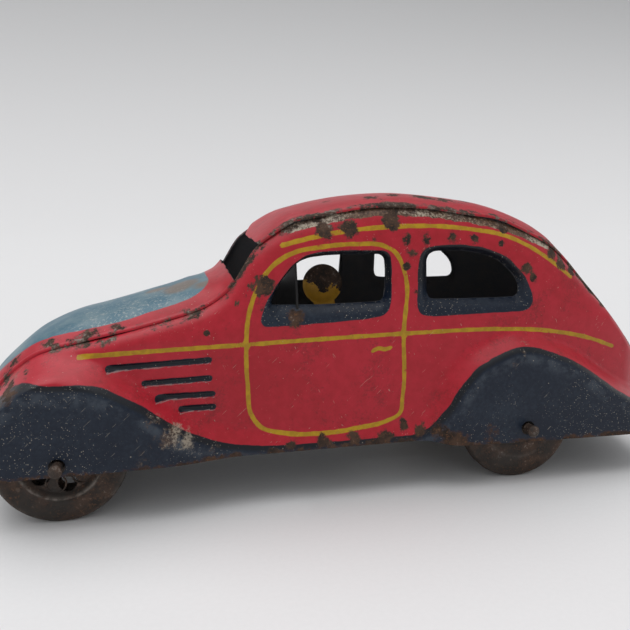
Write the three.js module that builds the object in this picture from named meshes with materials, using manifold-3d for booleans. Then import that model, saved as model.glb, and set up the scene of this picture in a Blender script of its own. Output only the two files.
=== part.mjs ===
// Pull-back toy saloon car in pressed tinplate, about 180 mm long.
// Millimetres. X points to the nose, Y to the car's left, Z up, ground at Z = 0.
import * as THREE from 'three';
import { mergeVertices } from 'three/addons/utils/BufferGeometryUtils.js';
import Module from 'manifold-3d';

const wasm = await Module();
wasm.setup();

// ---- Driving dimensions ----------------------------------------------------

const BODY_LENGTH = 180;        // nose to tail, along the centre line
const BODY_HEIGHT = 73.3;       // ground to the top of the roof
const WING_HALF_WIDTH = 29;     // centre line to the flat face of the wings
const SILL_HALF_WIDTH = 26;     // centre line to the running board
const WAIST_HALF_WIDTH = 24.6;  // centre line to the doors at the waist
const WAIST_OVER_WHEELS = 10;   // height of the waist above the tops of the wheels
const TIN = 0.5;                // sheet thickness of the body pressings
const SEAM_GAP = 0.3;           // between the strips and the side pressings
const NOSE_BULGE = 2.4;         // how far the strips crown past the sides' ends

const WHEEL_RADIUS = 15;
const WHEEL_WIDTH = 6.1;
const WHEEL_FACE = 25.4;        // centre line to the outside of a wheel
const FRONT_AXLE_X = 69.5;
const REAR_AXLE_X = -43.5;
const AXLE_RADIUS = 1.2;
const AXLE_HALF_LENGTH = 32.5;
const AXLE_PLAY = 0.6;          // radial play of an axle in its hole in a wing
const HUB_WALL = 1.05;
const FIT = 0.25;               // radial gap wherever one piece sits on another
const WHEEL_TIN = 0.5;
const WHEEL_HOLES = 6;          // pierced between the spokes of a front wheel
const WHEEL_HOLE_RADIUS = 2.1;

const FLOOR_TIN = 0.6;
const FLOOR_AXLE_GAP = 0.2;     // between the floor plate and the axles above it
const PAN_DEPTH = 3;            // of the flat pan below the rest of the floor
const PAN_FRONT_X = 47;
const PAN_REAR_X = 20;
const PAN_SLOPE = 3;
const FLOOR_HALF_WIDTH = 17.5;

const MODULE = 0.8;             // size of every gear tooth
const AXLE_PINION_TEETH = 12;
const IDLER_GEAR_TEETH = 24;
const IDLER_PINION_TEETH = 10;
const BARREL_TEETH = 32;
const IDLER_ANGLE = 50;         // degrees, from the axle to the idler arbor
const BARREL_ANGLE = 0;         // degrees, from the idler to the barrel arbor
const GEAR_WIDTH = 1.5;
const ARBOR_RADIUS = 1.1;
const BARREL_RADIUS = 9.4;
const BARREL_WIDTH = 7;
const BARREL_WALL = 0.6;
const SPRING_TIN = 0.35;
const SPRING_TURNS = 3.5;
const MOTOR_HALF_WIDTH = 9.4;   // centre line to the outside of a frame plate
const MOTOR_TIN = 0.8;
const PILLAR_RADIUS = 1.4;

const WAIST_HEIGHT = 2 * WHEEL_RADIUS + WAIST_OVER_WHEELS;
const FLOOR_HEIGHT = WHEEL_RADIUS - AXLE_RADIUS - FLOOR_AXLE_GAP - FLOOR_TIN;
const PAN_HEIGHT = FLOOR_HEIGHT - PAN_DEPTH;
const AXLE_HOLE_RADIUS = AXLE_RADIUS + AXLE_PLAY;
const HUB_RADIUS = AXLE_RADIUS + FIT + HUB_WALL;

const HEAD_RADIUS = 5.2;
const DRIVER_TIN = 0.5;
const DRIVER_Y = 6;
const DRIVER_X = 4.9;
const DRIVER_HEAD_DRAWN = 50.2;  // height of the head's centre in the drawn body
const DASH_X = 14.4;
const DASH_TOP = 58;            // in the drawn body

// ---- Outline curves, drawn on a body of this size --------------------------

const DRAWN_LENGTH = 180;
const DRAWN_HEIGHT = 73.3;
const DRAWN_WAIST_HEIGHT = 40;
const DRAWN_HALF_WIDTH = 24.6;

function curveThrough(points) {
  // Smooth curve through the points that never overshoots them.
  const sorted = points.slice().sort((a, b) => a[0] - b[0]);
  const last = sorted.length - 1;
  const slopes = [];
  for (let i = 0; i < last; i += 1) {
    slopes.push((sorted[i + 1][1] - sorted[i][1]) / (sorted[i + 1][0] - sorted[i][0]));
  }
  const tangents = sorted.map((point, i) => {
    if (i === 0) return slopes[0];
    if (i === last) return slopes[last - 1];
    if (slopes[i - 1] * slopes[i] <= 0) return 0;
    return 2 * slopes[i - 1] * slopes[i] / (slopes[i - 1] + slopes[i]);
  });
  return (x) => {
    if (x <= sorted[0][0]) return sorted[0][1];
    if (x >= sorted[last][0]) return sorted[last][1];
    let i = 0;
    while (x > sorted[i + 1][0]) i += 1;
    const step = sorted[i + 1][0] - sorted[i][0];
    const t = (x - sorted[i][0]) / step;
    const rise = t * t * (3 - 2 * t);
    const bend = step * t * (1 - t);
    return sorted[i][1] * (1 - rise) + sorted[i + 1][1] * rise
      + bend * (tangents[i] * (1 - t) - tangents[i + 1] * t);
  };
}

function raised(z) {
  // Real height of a drawn one: the wheels set it up to the waist, the roof above it.
  if (z <= DRAWN_WAIST_HEIGHT) return z * WAIST_HEIGHT / DRAWN_WAIST_HEIGHT;
  return WAIST_HEIGHT + (z - DRAWN_WAIST_HEIGHT)
    * (BODY_HEIGHT - WAIST_HEIGHT) / (DRAWN_HEIGHT - DRAWN_WAIST_HEIGHT);
}

function widened(y) {
  return y * WAIST_HALF_WIDTH / DRAWN_HALF_WIDTH;
}

function bodyCurve(points, toReal) {
  const curve = curveThrough(points);
  return (x) => toReal(curve(x * DRAWN_LENGTH / BODY_LENGTH));
}

const endX = (BODY_LENGTH / 2 - NOSE_BULGE);
const stretch = BODY_LENGTH / DRAWN_LENGTH;

// Height of the seam where a side pressing meets the bonnet or the roof.
const seamHeight = bodyCurve([
  [87.6, 20], [86, 26], [82, 31.8], [73, 38.2], [58, 41.6], [48.6, 44], [37, 47.4], [31, 51.2],
  [23.3, 62], [13, 67.5], [-8, 70.7], [-33, 68], [-52, 61.2], [-66, 48.8], [-79, 35.4],
  [-84.5, 28], [-87.6, 17],
], raised);
const seamHalfWidth = bodyCurve([
  [87.6, 12.5], [75, 15.2], [45, 17.8], [0, 18.8], [-50, 17.4], [-75, 14.8], [-87.6, 12.5],
], widened);
const waistHalfWidth = bodyCurve([
  [87.6, 12.5], [75, 18.5], [45, 22.4], [20, 24.3], [-8, 24.6], [-40, 23.9], [-60, 21.6],
  [-78, 18], [-87.6, 12.5],
], widened);
// Top edge of the wings and of the running board between them.
const wingHeight = bodyCurve([
  [87.6, 22], [83, 31], [74, 35.9], [65.4, 34.3], [53.4, 28.4], [40.8, 19.9], [30, 15.6],
  [18, 14.4], [-13, 14.3], [-17.4, 15.6], [-21.6, 20.2], [-25.4, 26.6], [-31, 32.2],
  [-41.5, 35.9], [-54, 32.4], [-72, 21.5], [-87.6, 13.5],
], raised);
const lowerEdge = bodyCurve([[87.6, 12.6], [-15, 12.8], [-24, 11.8], [-87.6, 10.6]], raised);
// How far the bonnet and roof stand proud of the seam on the centre line.
const crown = bodyCurve([
  [87.6, 1.6], [80, 1.6], [62, 3.9], [35, 4], [28.5, 3], [22.5, 0.6], [12, 1.2], [-4, 1.5],
  [-17, 2.3], [-48, 3], [-53, 2.4], [-59, 0.6], [-66, 0.2], [-76, 0.3], [-85, 1.6],
], (proud) => proud);

function smoothStep(low, high, value) {
  const t = Math.min(Math.max((value - low) / (high - low), 0), 1);
  return t * t * (3 - 2 * t);
}

function roundEnd(x, start) {
  // 1 until start, then a full round curve down to 0 at the end of the side.
  const t = Math.min(Math.max((Math.abs(x) - start) / (endX - start), 0), 1);
  return Math.sqrt(1 - t ** 3);
}

function sideHalfWidth(x, z) {
  // Distance of the side pressing's outer face from the centre line.
  const seam = seamHeight(x);
  const waist = Math.min(WAIST_HEIGHT, seam - 3);
  const rise = Math.min(Math.max((z - waist) / (seam - waist), 0), 1);
  const door = waistHalfWidth(x) - (waistHalfWidth(x) - seamHalfWidth(x)) * rise ** 1.7;
  const step = 0.05;
  const slope = (wingHeight(x + step) - wingHeight(x - step)) / (2 * step);
  const below = (wingHeight(x) - z) / Math.hypot(1, slope);
  const onWing = Math.max(smoothStep(27 * stretch, 48 * stretch, x),
    smoothStep(17 * stretch, 26 * stretch, -x));
  const end = roundEnd(x, (x > 0 ? 79 : 70) * stretch);
  const flat = SILL_HALF_WIDTH + (WING_HALF_WIDTH - SILL_HALF_WIDTH) * onWing;
  const face = seamHalfWidth(x) + (flat - seamHalfWidth(x)) * end;
  const lip = smoothStep(-4.5, 2.2, below) * smoothStep(0, 5, seam - z);
  return door + Math.max(face - door, 0) * lip;
}

// ---- Solids ----------------------------------------------------------------

function toSolid(geometry) {
  const bare = geometry.clone();
  bare.deleteAttribute('normal');
  bare.deleteAttribute('uv');
  const merged = mergeVertices(bare, 1e-4);
  const corners = Array.from(merged.index.array);
  const places = Float32Array.from(merged.attributes.position.array);
  let volume = 0;
  const at = (k) => new THREE.Vector3(places[3 * k], places[3 * k + 1], places[3 * k + 2]);
  const kept = [];
  for (let i = 0; i < corners.length; i += 3) {
    const [a, b, c] = [corners[i], corners[i + 1], corners[i + 2]];
    if (a === b || b === c || a === c) continue;
    volume += at(a).dot(at(b).cross(at(c)));
    kept.push(a, b, c);
  }
  if (volume < 0) kept.reverse();
  return new wasm.Manifold(new wasm.Mesh({
    numProp: 3, vertProperties: places, triVerts: Uint32Array.from(kept),
  }));
}

function toGeometry(solid) {
  const cut = solid.getMesh();
  const geometry = new THREE.BufferGeometry();
  geometry.setAttribute('position', new THREE.BufferAttribute(cut.vertProperties, 3));
  geometry.setIndex(new THREE.BufferAttribute(cut.triVerts, 1));
  return geometry;
}

function mirrored(geometry) {
  const copy = geometry.clone();
  copy.scale(1, -1, 1);
  return copy;
}

function alongY(geometry, x, y, z) {
  // Turns a geometry whose axis is Z (extrusions) so that it runs along Y from y.
  geometry.rotateX(Math.PI / 2);
  geometry.translate(x, y, z);
  return geometry;
}

function plateAlongY(shape, yFrom, yTo, segments = 6) {
  // Extrudes an outline drawn in X and Z from one Y to another.
  const geometry = new THREE.ExtrudeGeometry(shape,
    { depth: yTo - yFrom, bevelEnabled: false, curveSegments: segments });
  return alongY(geometry, 0, yTo, 0);
}

function sheet(pointAt, across, along, wall) {
  // A closed skin of even wall: pointAt gives its outer face, and the wall lies on the side
  // that the two parameters' directions, crossed, point away from.
  const reach = 1e-3;
  const places = [];
  const clampedPoint = (u, v) => pointAt(Math.min(Math.max(u, 0), 1), Math.min(Math.max(v, 0), 1));
  for (const layer of [0, 1]) {
    for (const u of across) {
      for (const v of along) {
        const point = pointAt(u, v);
        if (layer === 1) {
          const du = clampedPoint(u + reach, v).sub(clampedPoint(u - reach, v));
          const dv = clampedPoint(u, v + reach).sub(clampedPoint(u, v - reach));
          const inwards = du.cross(dv).normalize().multiplyScalar(-wall);
          point.add(inwards);
        }
        places.push(point.x, point.y, point.z);
      }
    }
  }
  const rows = along.length;
  const layerSize = across.length * rows;
  const corners = [];
  const quad = (a, b, c, d) => corners.push(a, b, c, a, c, d);
  for (let i = 0; i + 1 < across.length; i += 1) {
    for (let j = 0; j + 1 < rows; j += 1) {
      const a = i * rows + j;
      quad(a, a + rows, a + rows + 1, a + 1);
      quad(layerSize + a, layerSize + a + 1, layerSize + a + rows + 1, layerSize + a + rows);
    }
  }
  for (let i = 0; i + 1 < across.length; i += 1) {
    const a = i * rows;
    quad(a, layerSize + a, layerSize + a + rows, a + rows);
    const b = a + rows - 1;
    quad(b, b + rows, layerSize + b + rows, layerSize + b);
  }
  for (let j = 0; j + 1 < rows; j += 1) {
    quad(j, j + 1, layerSize + j + 1, layerSize + j);
    const b = (across.length - 1) * rows + j;
    quad(b, layerSize + b, layerSize + b + 1, b + 1);
  }
  const geometry = new THREE.BufferGeometry();
  geometry.setAttribute('position', new THREE.Float32BufferAttribute(places, 3));
  geometry.setIndex(corners);
  return geometry;
}

function steps(count) {
  return Array.from({ length: count + 1 }, (unused, i) => i / count);
}

// ---- Materials -------------------------------------------------------------

function finish(colour, roughness, metalness) {
  return new THREE.MeshStandardMaterial({ color: colour, roughness, metalness });
}

const redPaint = finish(0xb02436, 0.45, 0.1);
const darkTin = finish(0x1b1c1e, 0.7, 0.3);
const rustyTin = finish(0x3d2f28, 0.85, 0.3);
const steel = finish(0x8b8680, 0.45, 0.9);
const brass = finish(0xb08d57, 0.4, 0.9);
const springSteel = finish(0x4a5568, 0.35, 0.9);
const ochrePaint = finish(0xc58f1c, 0.6, 0.1);

const group = new THREE.Group();

function add(name, geometry, material, parent = group) {
  const mesh = new THREE.Mesh(geometry, material);
  mesh.name = name;
  parent.add(mesh);
  return mesh;
}

// ---- Side pressings: door, roof edge, wings and running board in one sheet --

function stationX(u) {
  // Nose to tail, with the stations closer together towards both ends.
  return endX * (0.72 * (1 - 2 * u) + 0.28 * Math.cos(Math.PI * u));
}

function sidePoint(u, v) {
  const x = stationX(u);
  const low = lowerEdge(x);
  const top = seamHeight(x);
  const wing = Math.min(wingHeight(x), top - 1.5);
  const z = v < 0.5 ? low + (wing - low) * (2 * v) : wing + (top - wing) * (2 * v - 1);
  return new THREE.Vector3(x, sideHalfWidth(x, z), z);
}

function roundedOutline(corners) {
  // Closed outline of straight runs whose corners [x, z, radius] are rounded.
  const shape = new THREE.Shape();
  const count = corners.length;
  corners.forEach(([x, z, radius], i) => {
    const here = new THREE.Vector2(x, z);
    const before = new THREE.Vector2(...corners[(i + count - 1) % count]);
    const after = new THREE.Vector2(...corners[(i + 1) % count]);
    const start = here.clone().add(before.sub(here).setLength(radius));
    const finishPoint = here.clone().add(after.sub(here).setLength(radius));
    if (i === 0) shape.moveTo(start.x, start.y);
    else shape.lineTo(start.x, start.y);
    shape.quadraticCurveTo(x, z, finishPoint.x, finishPoint.y);
  });
  shape.closePath();
  return shape;
}

const WINDOW_SILL = raised(47.8);
const WINDOW_TOP = raised(59.3);

function frontWindowOutline() {
  return roundedOutline([
    [21.2 * stretch, WINDOW_SILL, 1.6], [-6.7 * stretch, WINDOW_SILL, 1.6],
    [-7 * stretch, WINDOW_TOP, 1.8], [14.4 * stretch, WINDOW_TOP - 0.9, 2.6],
  ]);
}

function rearWindowOutline() {
  const front = -18 * stretch;
  const roundFrom = -27 * stretch;
  const rear = -43.4 * stretch;
  const shape = new THREE.Shape();
  shape.moveTo(front - 1.8, WINDOW_SILL);
  shape.quadraticCurveTo(front, WINDOW_SILL, front, WINDOW_SILL + 1.8);
  shape.lineTo(front, WINDOW_TOP - 2.2);
  shape.quadraticCurveTo(front, WINDOW_TOP, front - 2.2, WINDOW_TOP);
  shape.lineTo(roundFrom, WINDOW_TOP);
  shape.absellipse(roundFrom, WINDOW_SILL + 1, roundFrom - rear, WINDOW_TOP - WINDOW_SILL - 1,
    Math.PI / 2, Math.PI, false);
  shape.quadraticCurveTo(rear, WINDOW_SILL, rear + 1.6, WINDOW_SILL);
  shape.closePath();
  return shape;
}

function axleHole(x) {
  const hole = new THREE.CylinderGeometry(AXLE_HOLE_RADIUS, AXLE_HOLE_RADIUS, WING_HALF_WIDTH, 16);
  hole.translate(x, WING_HALF_WIDTH, WHEEL_RADIUS);
  return hole;
}

function makeSide() {
  const rows = [0, 0.25, 0.4, 0.5, 0.54, 0.58, 0.64, 0.73, 0.82, 0.91, 1];
  let side = toSolid(sheet(sidePoint, steps(40), rows, TIN));
  const reach = [5, 2 * WING_HALF_WIDTH];
  side = side.subtract(toSolid(plateAlongY(frontWindowOutline(), ...reach, 4)));
  side = side.subtract(toSolid(plateAlongY(rearWindowOutline(), ...reach, 8)));
  side = side.subtract(toSolid(axleHole(FRONT_AXLE_X)));
  side = side.subtract(toSolid(axleHole(REAR_AXLE_X)));
  return toGeometry(side);
}

const side = makeSide();
add('left_side_pressing', side, redPaint);
add('right_side_pressing', toGeometry(toSolid(mirrored(side))), redPaint);

// ---- Bonnet and roof strips, crimped over the seams -------------------------

const stripEdge = TIN + SEAM_GAP;

function seamPath() {
  // Side view of the seam as one path: up the nose, over the roof, down the tail.
  const path = [];
  const noseRows = 4;
  for (let i = 0; i < noseRows; i += 1) {
    const t = i / noseRows;
    path.push([endX, lowerEdge(endX) * (1 - t) + seamHeight(endX) * t]);
  }
  for (const u of steps(60)) path.push([stationX(u), seamHeight(stationX(u))]);
  for (let i = 1; i <= noseRows; i += 1) {
    const t = i / noseRows;
    path.push([-endX, lowerEdge(-endX) * t + seamHeight(-endX) * (1 - t)]);
  }
  return path;
}

const seam = seamPath();

function seamAt(u) {
  const scaled = Math.min(u * (seam.length - 1), seam.length - 1 - 1e-9);
  const i = Math.floor(scaled);
  const t = scaled - i;
  const mix = (k) => seam[i][k] * (1 - t) + seam[i + 1][k] * t;
  return [mix(0), mix(1)];
}

function stripPoint(u, v) {
  const [x, z] = seamAt(u);
  const reach = 0.012;
  const [xa, za] = seamAt(Math.max(u - reach, 0));
  const [xb, zb] = seamAt(Math.min(u + reach, 1));
  const out = new THREE.Vector2(zb - za, xa - xb).normalize();
  const w = 1 - 2 * v;
  const rise = stripEdge + crown(x) * (1 - w * w);
  return new THREE.Vector3(x + out.x * rise, w * seamHalfWidth(x), z + out.y * rise);
}

function seamPlace(x) {
  // Parameter along the seam path of the first station behind x.
  return seam.findIndex((place) => place[0] <= x) / (seam.length - 1);
}

const COWL_X = 28.5 * stretch;
const ROOF_FRONT_X = 22.5 * stretch;

function makeStrip(from, to, count) {
  const across = steps(count).map((u) => from + (to - from) * u);
  return toGeometry(toSolid(sheet(stripPoint, across, steps(6), TIN)));
}

add('bonnet_strip', makeStrip(0, seamPlace(COWL_X), 20), redPaint);
add('roof_strip', makeStrip(seamPlace(ROOF_FRONT_X), 1, 28), redPaint);

// ---- Floor plate with a flat pan between the axles --------------------------

function floorSection() {
  // Side view of the floor: level, down into the pan and level again.
  const rear = -endX + 5;
  const front = endX - 6;
  const under = [
    [rear, FLOOR_HEIGHT], [PAN_REAR_X - PAN_SLOPE, FLOOR_HEIGHT], [PAN_REAR_X, PAN_HEIGHT],
    [PAN_FRONT_X, PAN_HEIGHT], [PAN_FRONT_X + PAN_SLOPE, FLOOR_HEIGHT], [front, FLOOR_HEIGHT],
  ];
  const over = under.map(([x, z]) => [x, z + FLOOR_TIN]).reverse();
  return new THREE.Shape([...under, ...over].map(([x, z]) => new THREE.Vector2(x, z)));
}

const MOTOR_BAY_REAR = REAR_AXLE_X - 10.5;
const idlerX = REAR_AXLE_X + Math.cos(IDLER_ANGLE * Math.PI / 180)
  * MODULE * (AXLE_PINION_TEETH + IDLER_GEAR_TEETH) / 2;
const idlerZ = WHEEL_RADIUS + Math.sin(IDLER_ANGLE * Math.PI / 180)
  * MODULE * (AXLE_PINION_TEETH + IDLER_GEAR_TEETH) / 2;
const barrelX = idlerX + Math.cos(BARREL_ANGLE * Math.PI / 180)
  * MODULE * (IDLER_PINION_TEETH + BARREL_TEETH) / 2;
const barrelZ = idlerZ + Math.sin(BARREL_ANGLE * Math.PI / 180)
  * MODULE * (IDLER_PINION_TEETH + BARREL_TEETH) / 2;
const barrelReach = MODULE * (BARREL_TEETH / 2 + 1);
const MOTOR_BAY_FRONT = barrelX + barrelReach + 1.5;

function block(xFrom, xTo, yFrom, yTo, zFrom, zTo) {
  const geometry = new THREE.BoxGeometry(xTo - xFrom, yTo - yFrom, zTo - zFrom);
  geometry.translate((xFrom + xTo) / 2, (yFrom + yTo) / 2, (zFrom + zTo) / 2);
  return geometry;
}

function makeFloor() {
  let floor = toSolid(plateAlongY(floorSection(), -FLOOR_HALF_WIDTH, FLOOR_HALF_WIDTH));
  floor = floor.subtract(toSolid(block(MOTOR_BAY_REAR, MOTOR_BAY_FRONT,
    -MOTOR_HALF_WIDTH - 1, MOTOR_HALF_WIDTH + 1, 0, BODY_HEIGHT)));
  for (const x of [-12, 11]) {
    const reach = sideHalfWidth(x, FLOOR_HEIGHT) - TIN - SEAM_GAP - 0.1;
    floor = floor.add(toSolid(block(x - 5, x + 5, -reach, -FLOOR_HALF_WIDTH + 1,
      FLOOR_HEIGHT, FLOOR_HEIGHT + FLOOR_TIN)));
    floor = floor.add(toSolid(block(x - 5, x + 5, FLOOR_HALF_WIDTH - 1, reach,
      FLOOR_HEIGHT, FLOOR_HEIGHT + FLOOR_TIN)));
  }
  return toGeometry(floor);
}

add('floor_plate', makeFloor(), darkTin);

// ---- Dash panel behind the windscreen and the stamped driver ----------------

function makeDash() {
  const floorTop = FLOOR_HEIGHT + FLOOR_TIN + FIT;
  const heights = steps(9).map((t) => floorTop + (raised(DASH_TOP) - floorTop) * t);
  const inside = (z) => sideHalfWidth(DASH_X, z) - 2 * TIN - SEAM_GAP;
  const left = heights.map((z) => new THREE.Vector2(inside(z), z));
  const right = heights.map((z) => new THREE.Vector2(-inside(z), z)).reverse();
  const plate = new THREE.ExtrudeGeometry(new THREE.Shape([...left, ...right]),
    { depth: TIN, bevelEnabled: false });
  plate.rotateX(Math.PI / 2);
  plate.rotateZ(Math.PI / 2);
  plate.translate(DASH_X, 0, 0);
  return plate;
}

add('dash_panel', makeDash(), darkTin);

function makeDriver() {
  const shape = new THREE.Shape();
  const foot = FLOOR_HEIGHT + FLOOR_TIN + FIT;
  const head = raised(DRIVER_HEAD_DRAWN);
  const chin = head - 0.8 * HEAD_RADIUS;
  shape.moveTo(DRIVER_X - 2.5, foot);
  shape.lineTo(DRIVER_X + 2.5, foot);
  shape.lineTo(DRIVER_X + 3, chin - 14);
  shape.lineTo(DRIVER_X + 4.5, chin - 6);
  shape.lineTo(DRIVER_X + 1.5, chin - 2);
  const neck = Math.asin(0.8);
  shape.absarc(DRIVER_X, head, HEAD_RADIUS, -neck, Math.PI + neck, false);
  shape.lineTo(DRIVER_X - 3.2, chin - 1.5);
  shape.lineTo(DRIVER_X - 5, chin - 6);
  shape.lineTo(DRIVER_X - 4.5, chin - 14);
  shape.closePath();
  return plateAlongY(shape, DRIVER_Y - DRIVER_TIN / 2, DRIVER_Y + DRIVER_TIN / 2, 20);
}

add('driver_figure', makeDriver(), ochrePaint);

// ---- Wheels and axles -------------------------------------------------------

function turned(profile, segments = 22) {
  // Revolves [radius, outwards] points, closed on themselves, about the Y axis.
  const points = profile.map(([radius, out]) => new THREE.Vector2(radius, out));
  points.push(points[0].clone());
  return new THREE.LatheGeometry(points, segments);
}

const wheelBore = HUB_RADIUS + FIT;

function pressedWheelHalf(depth, spoked) {
  // One dished half, its outer face at 0, its tread flange reaching -depth.
  const rim = WHEEL_RADIUS;
  const t = WHEEL_TIN;
  const ring = 0.62 * rim;
  const outer = spoked
    ? [[wheelBore, -1.4], [ring - 0.9, -1.4], [ring, 0], [ring + 0.8, -0.5],
      [rim - 1.1, -0.3], [rim - 0.3, -0.7], [rim, -1.5], [rim, -depth]]
    : [[wheelBore, 0], [ring, -0.2], [rim - 1.4, -0.6], [rim - 0.4, -1.1], [rim, -1.9],
      [rim, -depth]];
  const inner = outer.map(([radius, out], i) => {
    if (i === outer.length - 1) return [radius - t, out];
    if (i === outer.length - 2) return [radius - t, out - 0.2];
    return [Math.min(radius, rim - t - 0.1 * (outer.length - i)), out - t];
  });
  return [...outer, ...inner.reverse()];
}

function pierced(geometry) {
  let disc = toSolid(geometry);
  const away = (wheelBore + 0.62 * WHEEL_RADIUS) / 2;
  for (let i = 0; i < WHEEL_HOLES; i += 1) {
    const angle = (i + 0.3) * 2 * Math.PI / WHEEL_HOLES;
    const hole = new THREE.CylinderGeometry(WHEEL_HOLE_RADIUS, WHEEL_HOLE_RADIUS,
      4 * WHEEL_WIDTH, 8);
    hole.translate(away * Math.cos(angle), 0, away * Math.sin(angle));
    disc = disc.subtract(toSolid(hole));
  }
  return toGeometry(disc);
}

function addWheel(name, x, left, spoked) {
  const half = WHEEL_WIDTH / 2 - FIT / 2;
  const place = new THREE.Group();
  place.position.set(x, left ? WHEEL_FACE : -WHEEL_FACE, WHEEL_RADIUS);
  if (!left) place.rotation.x = Math.PI;
  const face = turned(pressedWheelHalf(half, spoked));
  const back = turned(pressedWheelHalf(half, false));
  back.rotateX(Math.PI);
  back.translate(0, -WHEEL_WIDTH, 0);
  const finishHalf = (disc) => (spoked ? pierced(disc) : toGeometry(toSolid(disc)));
  add(`${name}_wheel_face`, finishHalf(face), rustyTin, place);
  add(`${name}_wheel_back`, finishHalf(back), rustyTin, place);
  const bore = AXLE_RADIUS + FIT;
  const hub = turned([[bore, 0.6], [HUB_RADIUS, 0.6], [HUB_RADIUS, -WHEEL_WIDTH - 0.6],
    [bore, -WHEEL_WIDTH - 0.6]], 14);
  add(`${name}_hub`, toGeometry(toSolid(hub)), rustyTin, place);
  group.add(place);
}

function addAxle(name, x) {
  const dome = 0.5;
  const profile = [
    [0, AXLE_HALF_LENGTH], [AXLE_RADIUS * 0.6, AXLE_HALF_LENGTH],
    [AXLE_RADIUS, AXLE_HALF_LENGTH - dome], [AXLE_RADIUS, dome - AXLE_HALF_LENGTH],
    [AXLE_RADIUS * 0.6, -AXLE_HALF_LENGTH], [0, -AXLE_HALF_LENGTH],
  ];
  const points = profile.map(([radius, y]) => new THREE.Vector2(radius, y));
  const rod = new THREE.LatheGeometry(points, 14);
  rod.translate(x, 0, WHEEL_RADIUS);
  add(name, toGeometry(toSolid(rod)), rustyTin);
}

addAxle('front_axle', FRONT_AXLE_X);
addAxle('rear_axle', REAR_AXLE_X);
for (const left of [true, false]) {
  const hand = left ? 'left' : 'right';
  addWheel(`front_${hand}`, FRONT_AXLE_X, left, true);
  addWheel(`rear_${hand}`, REAR_AXLE_X, left, false);
}

// ---- Pull-back motor ---------------------------------------------------------

function gearOutline(teeth, phase, bore) {
  // Straight-flanked teeth, one of them centred on the angle given by phase.
  const pitch = MODULE * teeth / 2;
  const tip = pitch + 0.75 * MODULE;
  const root = pitch - 1.1 * MODULE;
  const step = 2 * Math.PI / teeth;
  const corners = [[root, -0.3], [tip, -0.11], [tip, 0.11], [root, 0.3]];
  const points = [];
  for (let i = 0; i < teeth; i += 1) {
    for (const [radius, share] of corners) {
      const angle = phase + (i + share) * step;
      points.push(new THREE.Vector2(radius * Math.cos(angle), radius * Math.sin(angle)));
    }
  }
  const shape = new THREE.Shape(points);
  const hole = new THREE.Path();
  hole.absarc(0, 0, bore, 0, 2 * Math.PI, true);
  shape.holes.push(hole);
  return shape;
}

function gear(teeth, phase, bore, x, z, yFrom, yTo) {
  const geometry = plateAlongY(gearOutline(teeth, phase, bore), yFrom, yTo, 8);
  geometry.translate(x, 0, z);
  return geometry;
}

const idlerTurn = IDLER_ANGLE * Math.PI / 180;
const barrelTurn = BARREL_ANGLE * Math.PI / 180;
const halfTooth = (teeth) => Math.PI / teeth;
const gearBore = ARBOR_RADIUS + FIT;
const frameInside = MOTOR_HALF_WIDTH - MOTOR_TIN;
const axleGearY = -frameInside + 1;
const barrelGearY = frameInside - 1 - GEAR_WIDTH;

add('axle_pinion', gear(AXLE_PINION_TEETH, idlerTurn, AXLE_RADIUS + FIT, REAR_AXLE_X,
  WHEEL_RADIUS, axleGearY - 0.4, axleGearY + GEAR_WIDTH + 0.4), brass);
add('idler_gear', gear(IDLER_GEAR_TEETH, idlerTurn + Math.PI + halfTooth(IDLER_GEAR_TEETH),
  gearBore, idlerX, idlerZ, axleGearY, axleGearY + GEAR_WIDTH), brass);
add('idler_pinion', gear(IDLER_PINION_TEETH, barrelTurn, gearBore, idlerX, idlerZ,
  barrelGearY - 0.4, barrelGearY + GEAR_WIDTH + 0.4), brass);

function arbor(name, x, z, halfLength) {
  const rod = new THREE.CylinderGeometry(ARBOR_RADIUS, ARBOR_RADIUS, 2 * halfLength, 12);
  rod.translate(x, 0, z);
  add(name, rod, steel);
}

arbor('idler_arbor', idlerX, idlerZ, MOTOR_HALF_WIDTH + 0.8);
arbor('barrel_arbor', barrelX, barrelZ, MOTOR_HALF_WIDTH + 0.8);

function makeBarrel() {
  // Toothed drum, open on the side away from its teeth.
  const teeth = toSolid(gear(BARREL_TEETH, barrelTurn + Math.PI + halfTooth(BARREL_TEETH),
    gearBore, barrelX, barrelZ, barrelGearY, barrelGearY + GEAR_WIDTH));
  const drum = turned([
    [BARREL_RADIUS - BARREL_WALL, 0.3], [BARREL_RADIUS, 0.3],
    [BARREL_RADIUS, -BARREL_WIDTH], [BARREL_RADIUS - BARREL_WALL, -BARREL_WIDTH],
  ], 24);
  drum.translate(barrelX, barrelGearY, barrelZ);
  return toGeometry(teeth.add(toSolid(drum)));
}

add('spring_barrel', makeBarrel(), brass);

function makeSpring() {
  // Flat spiral strip between the arbor and the wall of the drum.
  const inside = ARBOR_RADIUS + FIT + 0.6;
  const outside = BARREL_RADIUS - BARREL_WALL - FIT - SPRING_TIN;
  const count = Math.round(SPRING_TURNS * 16);
  const edge = (extra) => steps(count).map((t) => {
    const angle = t * SPRING_TURNS * 2 * Math.PI;
    const radius = inside + (outside - inside) * t + extra;
    return new THREE.Vector2(radius * Math.cos(angle), radius * Math.sin(angle));
  });
  const shape = new THREE.Shape([...edge(0), ...edge(SPRING_TIN).reverse()]);
  const strip = plateAlongY(shape, barrelGearY - BARREL_WIDTH + 0.5, barrelGearY - 0.6);
  strip.translate(barrelX, 0, barrelZ);
  return strip;
}

add('mainspring', makeSpring(), springSteel);

const footHeight = FLOOR_HEIGHT + FLOOR_TIN + FIT;
const pillarPlaces = [
  [REAR_AXLE_X - 7.5, idlerZ + 3],
  [idlerX + 3, WHEEL_RADIUS - 0.5],
  [MOTOR_BAY_FRONT + 1.2, barrelZ - 5],
];

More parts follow.
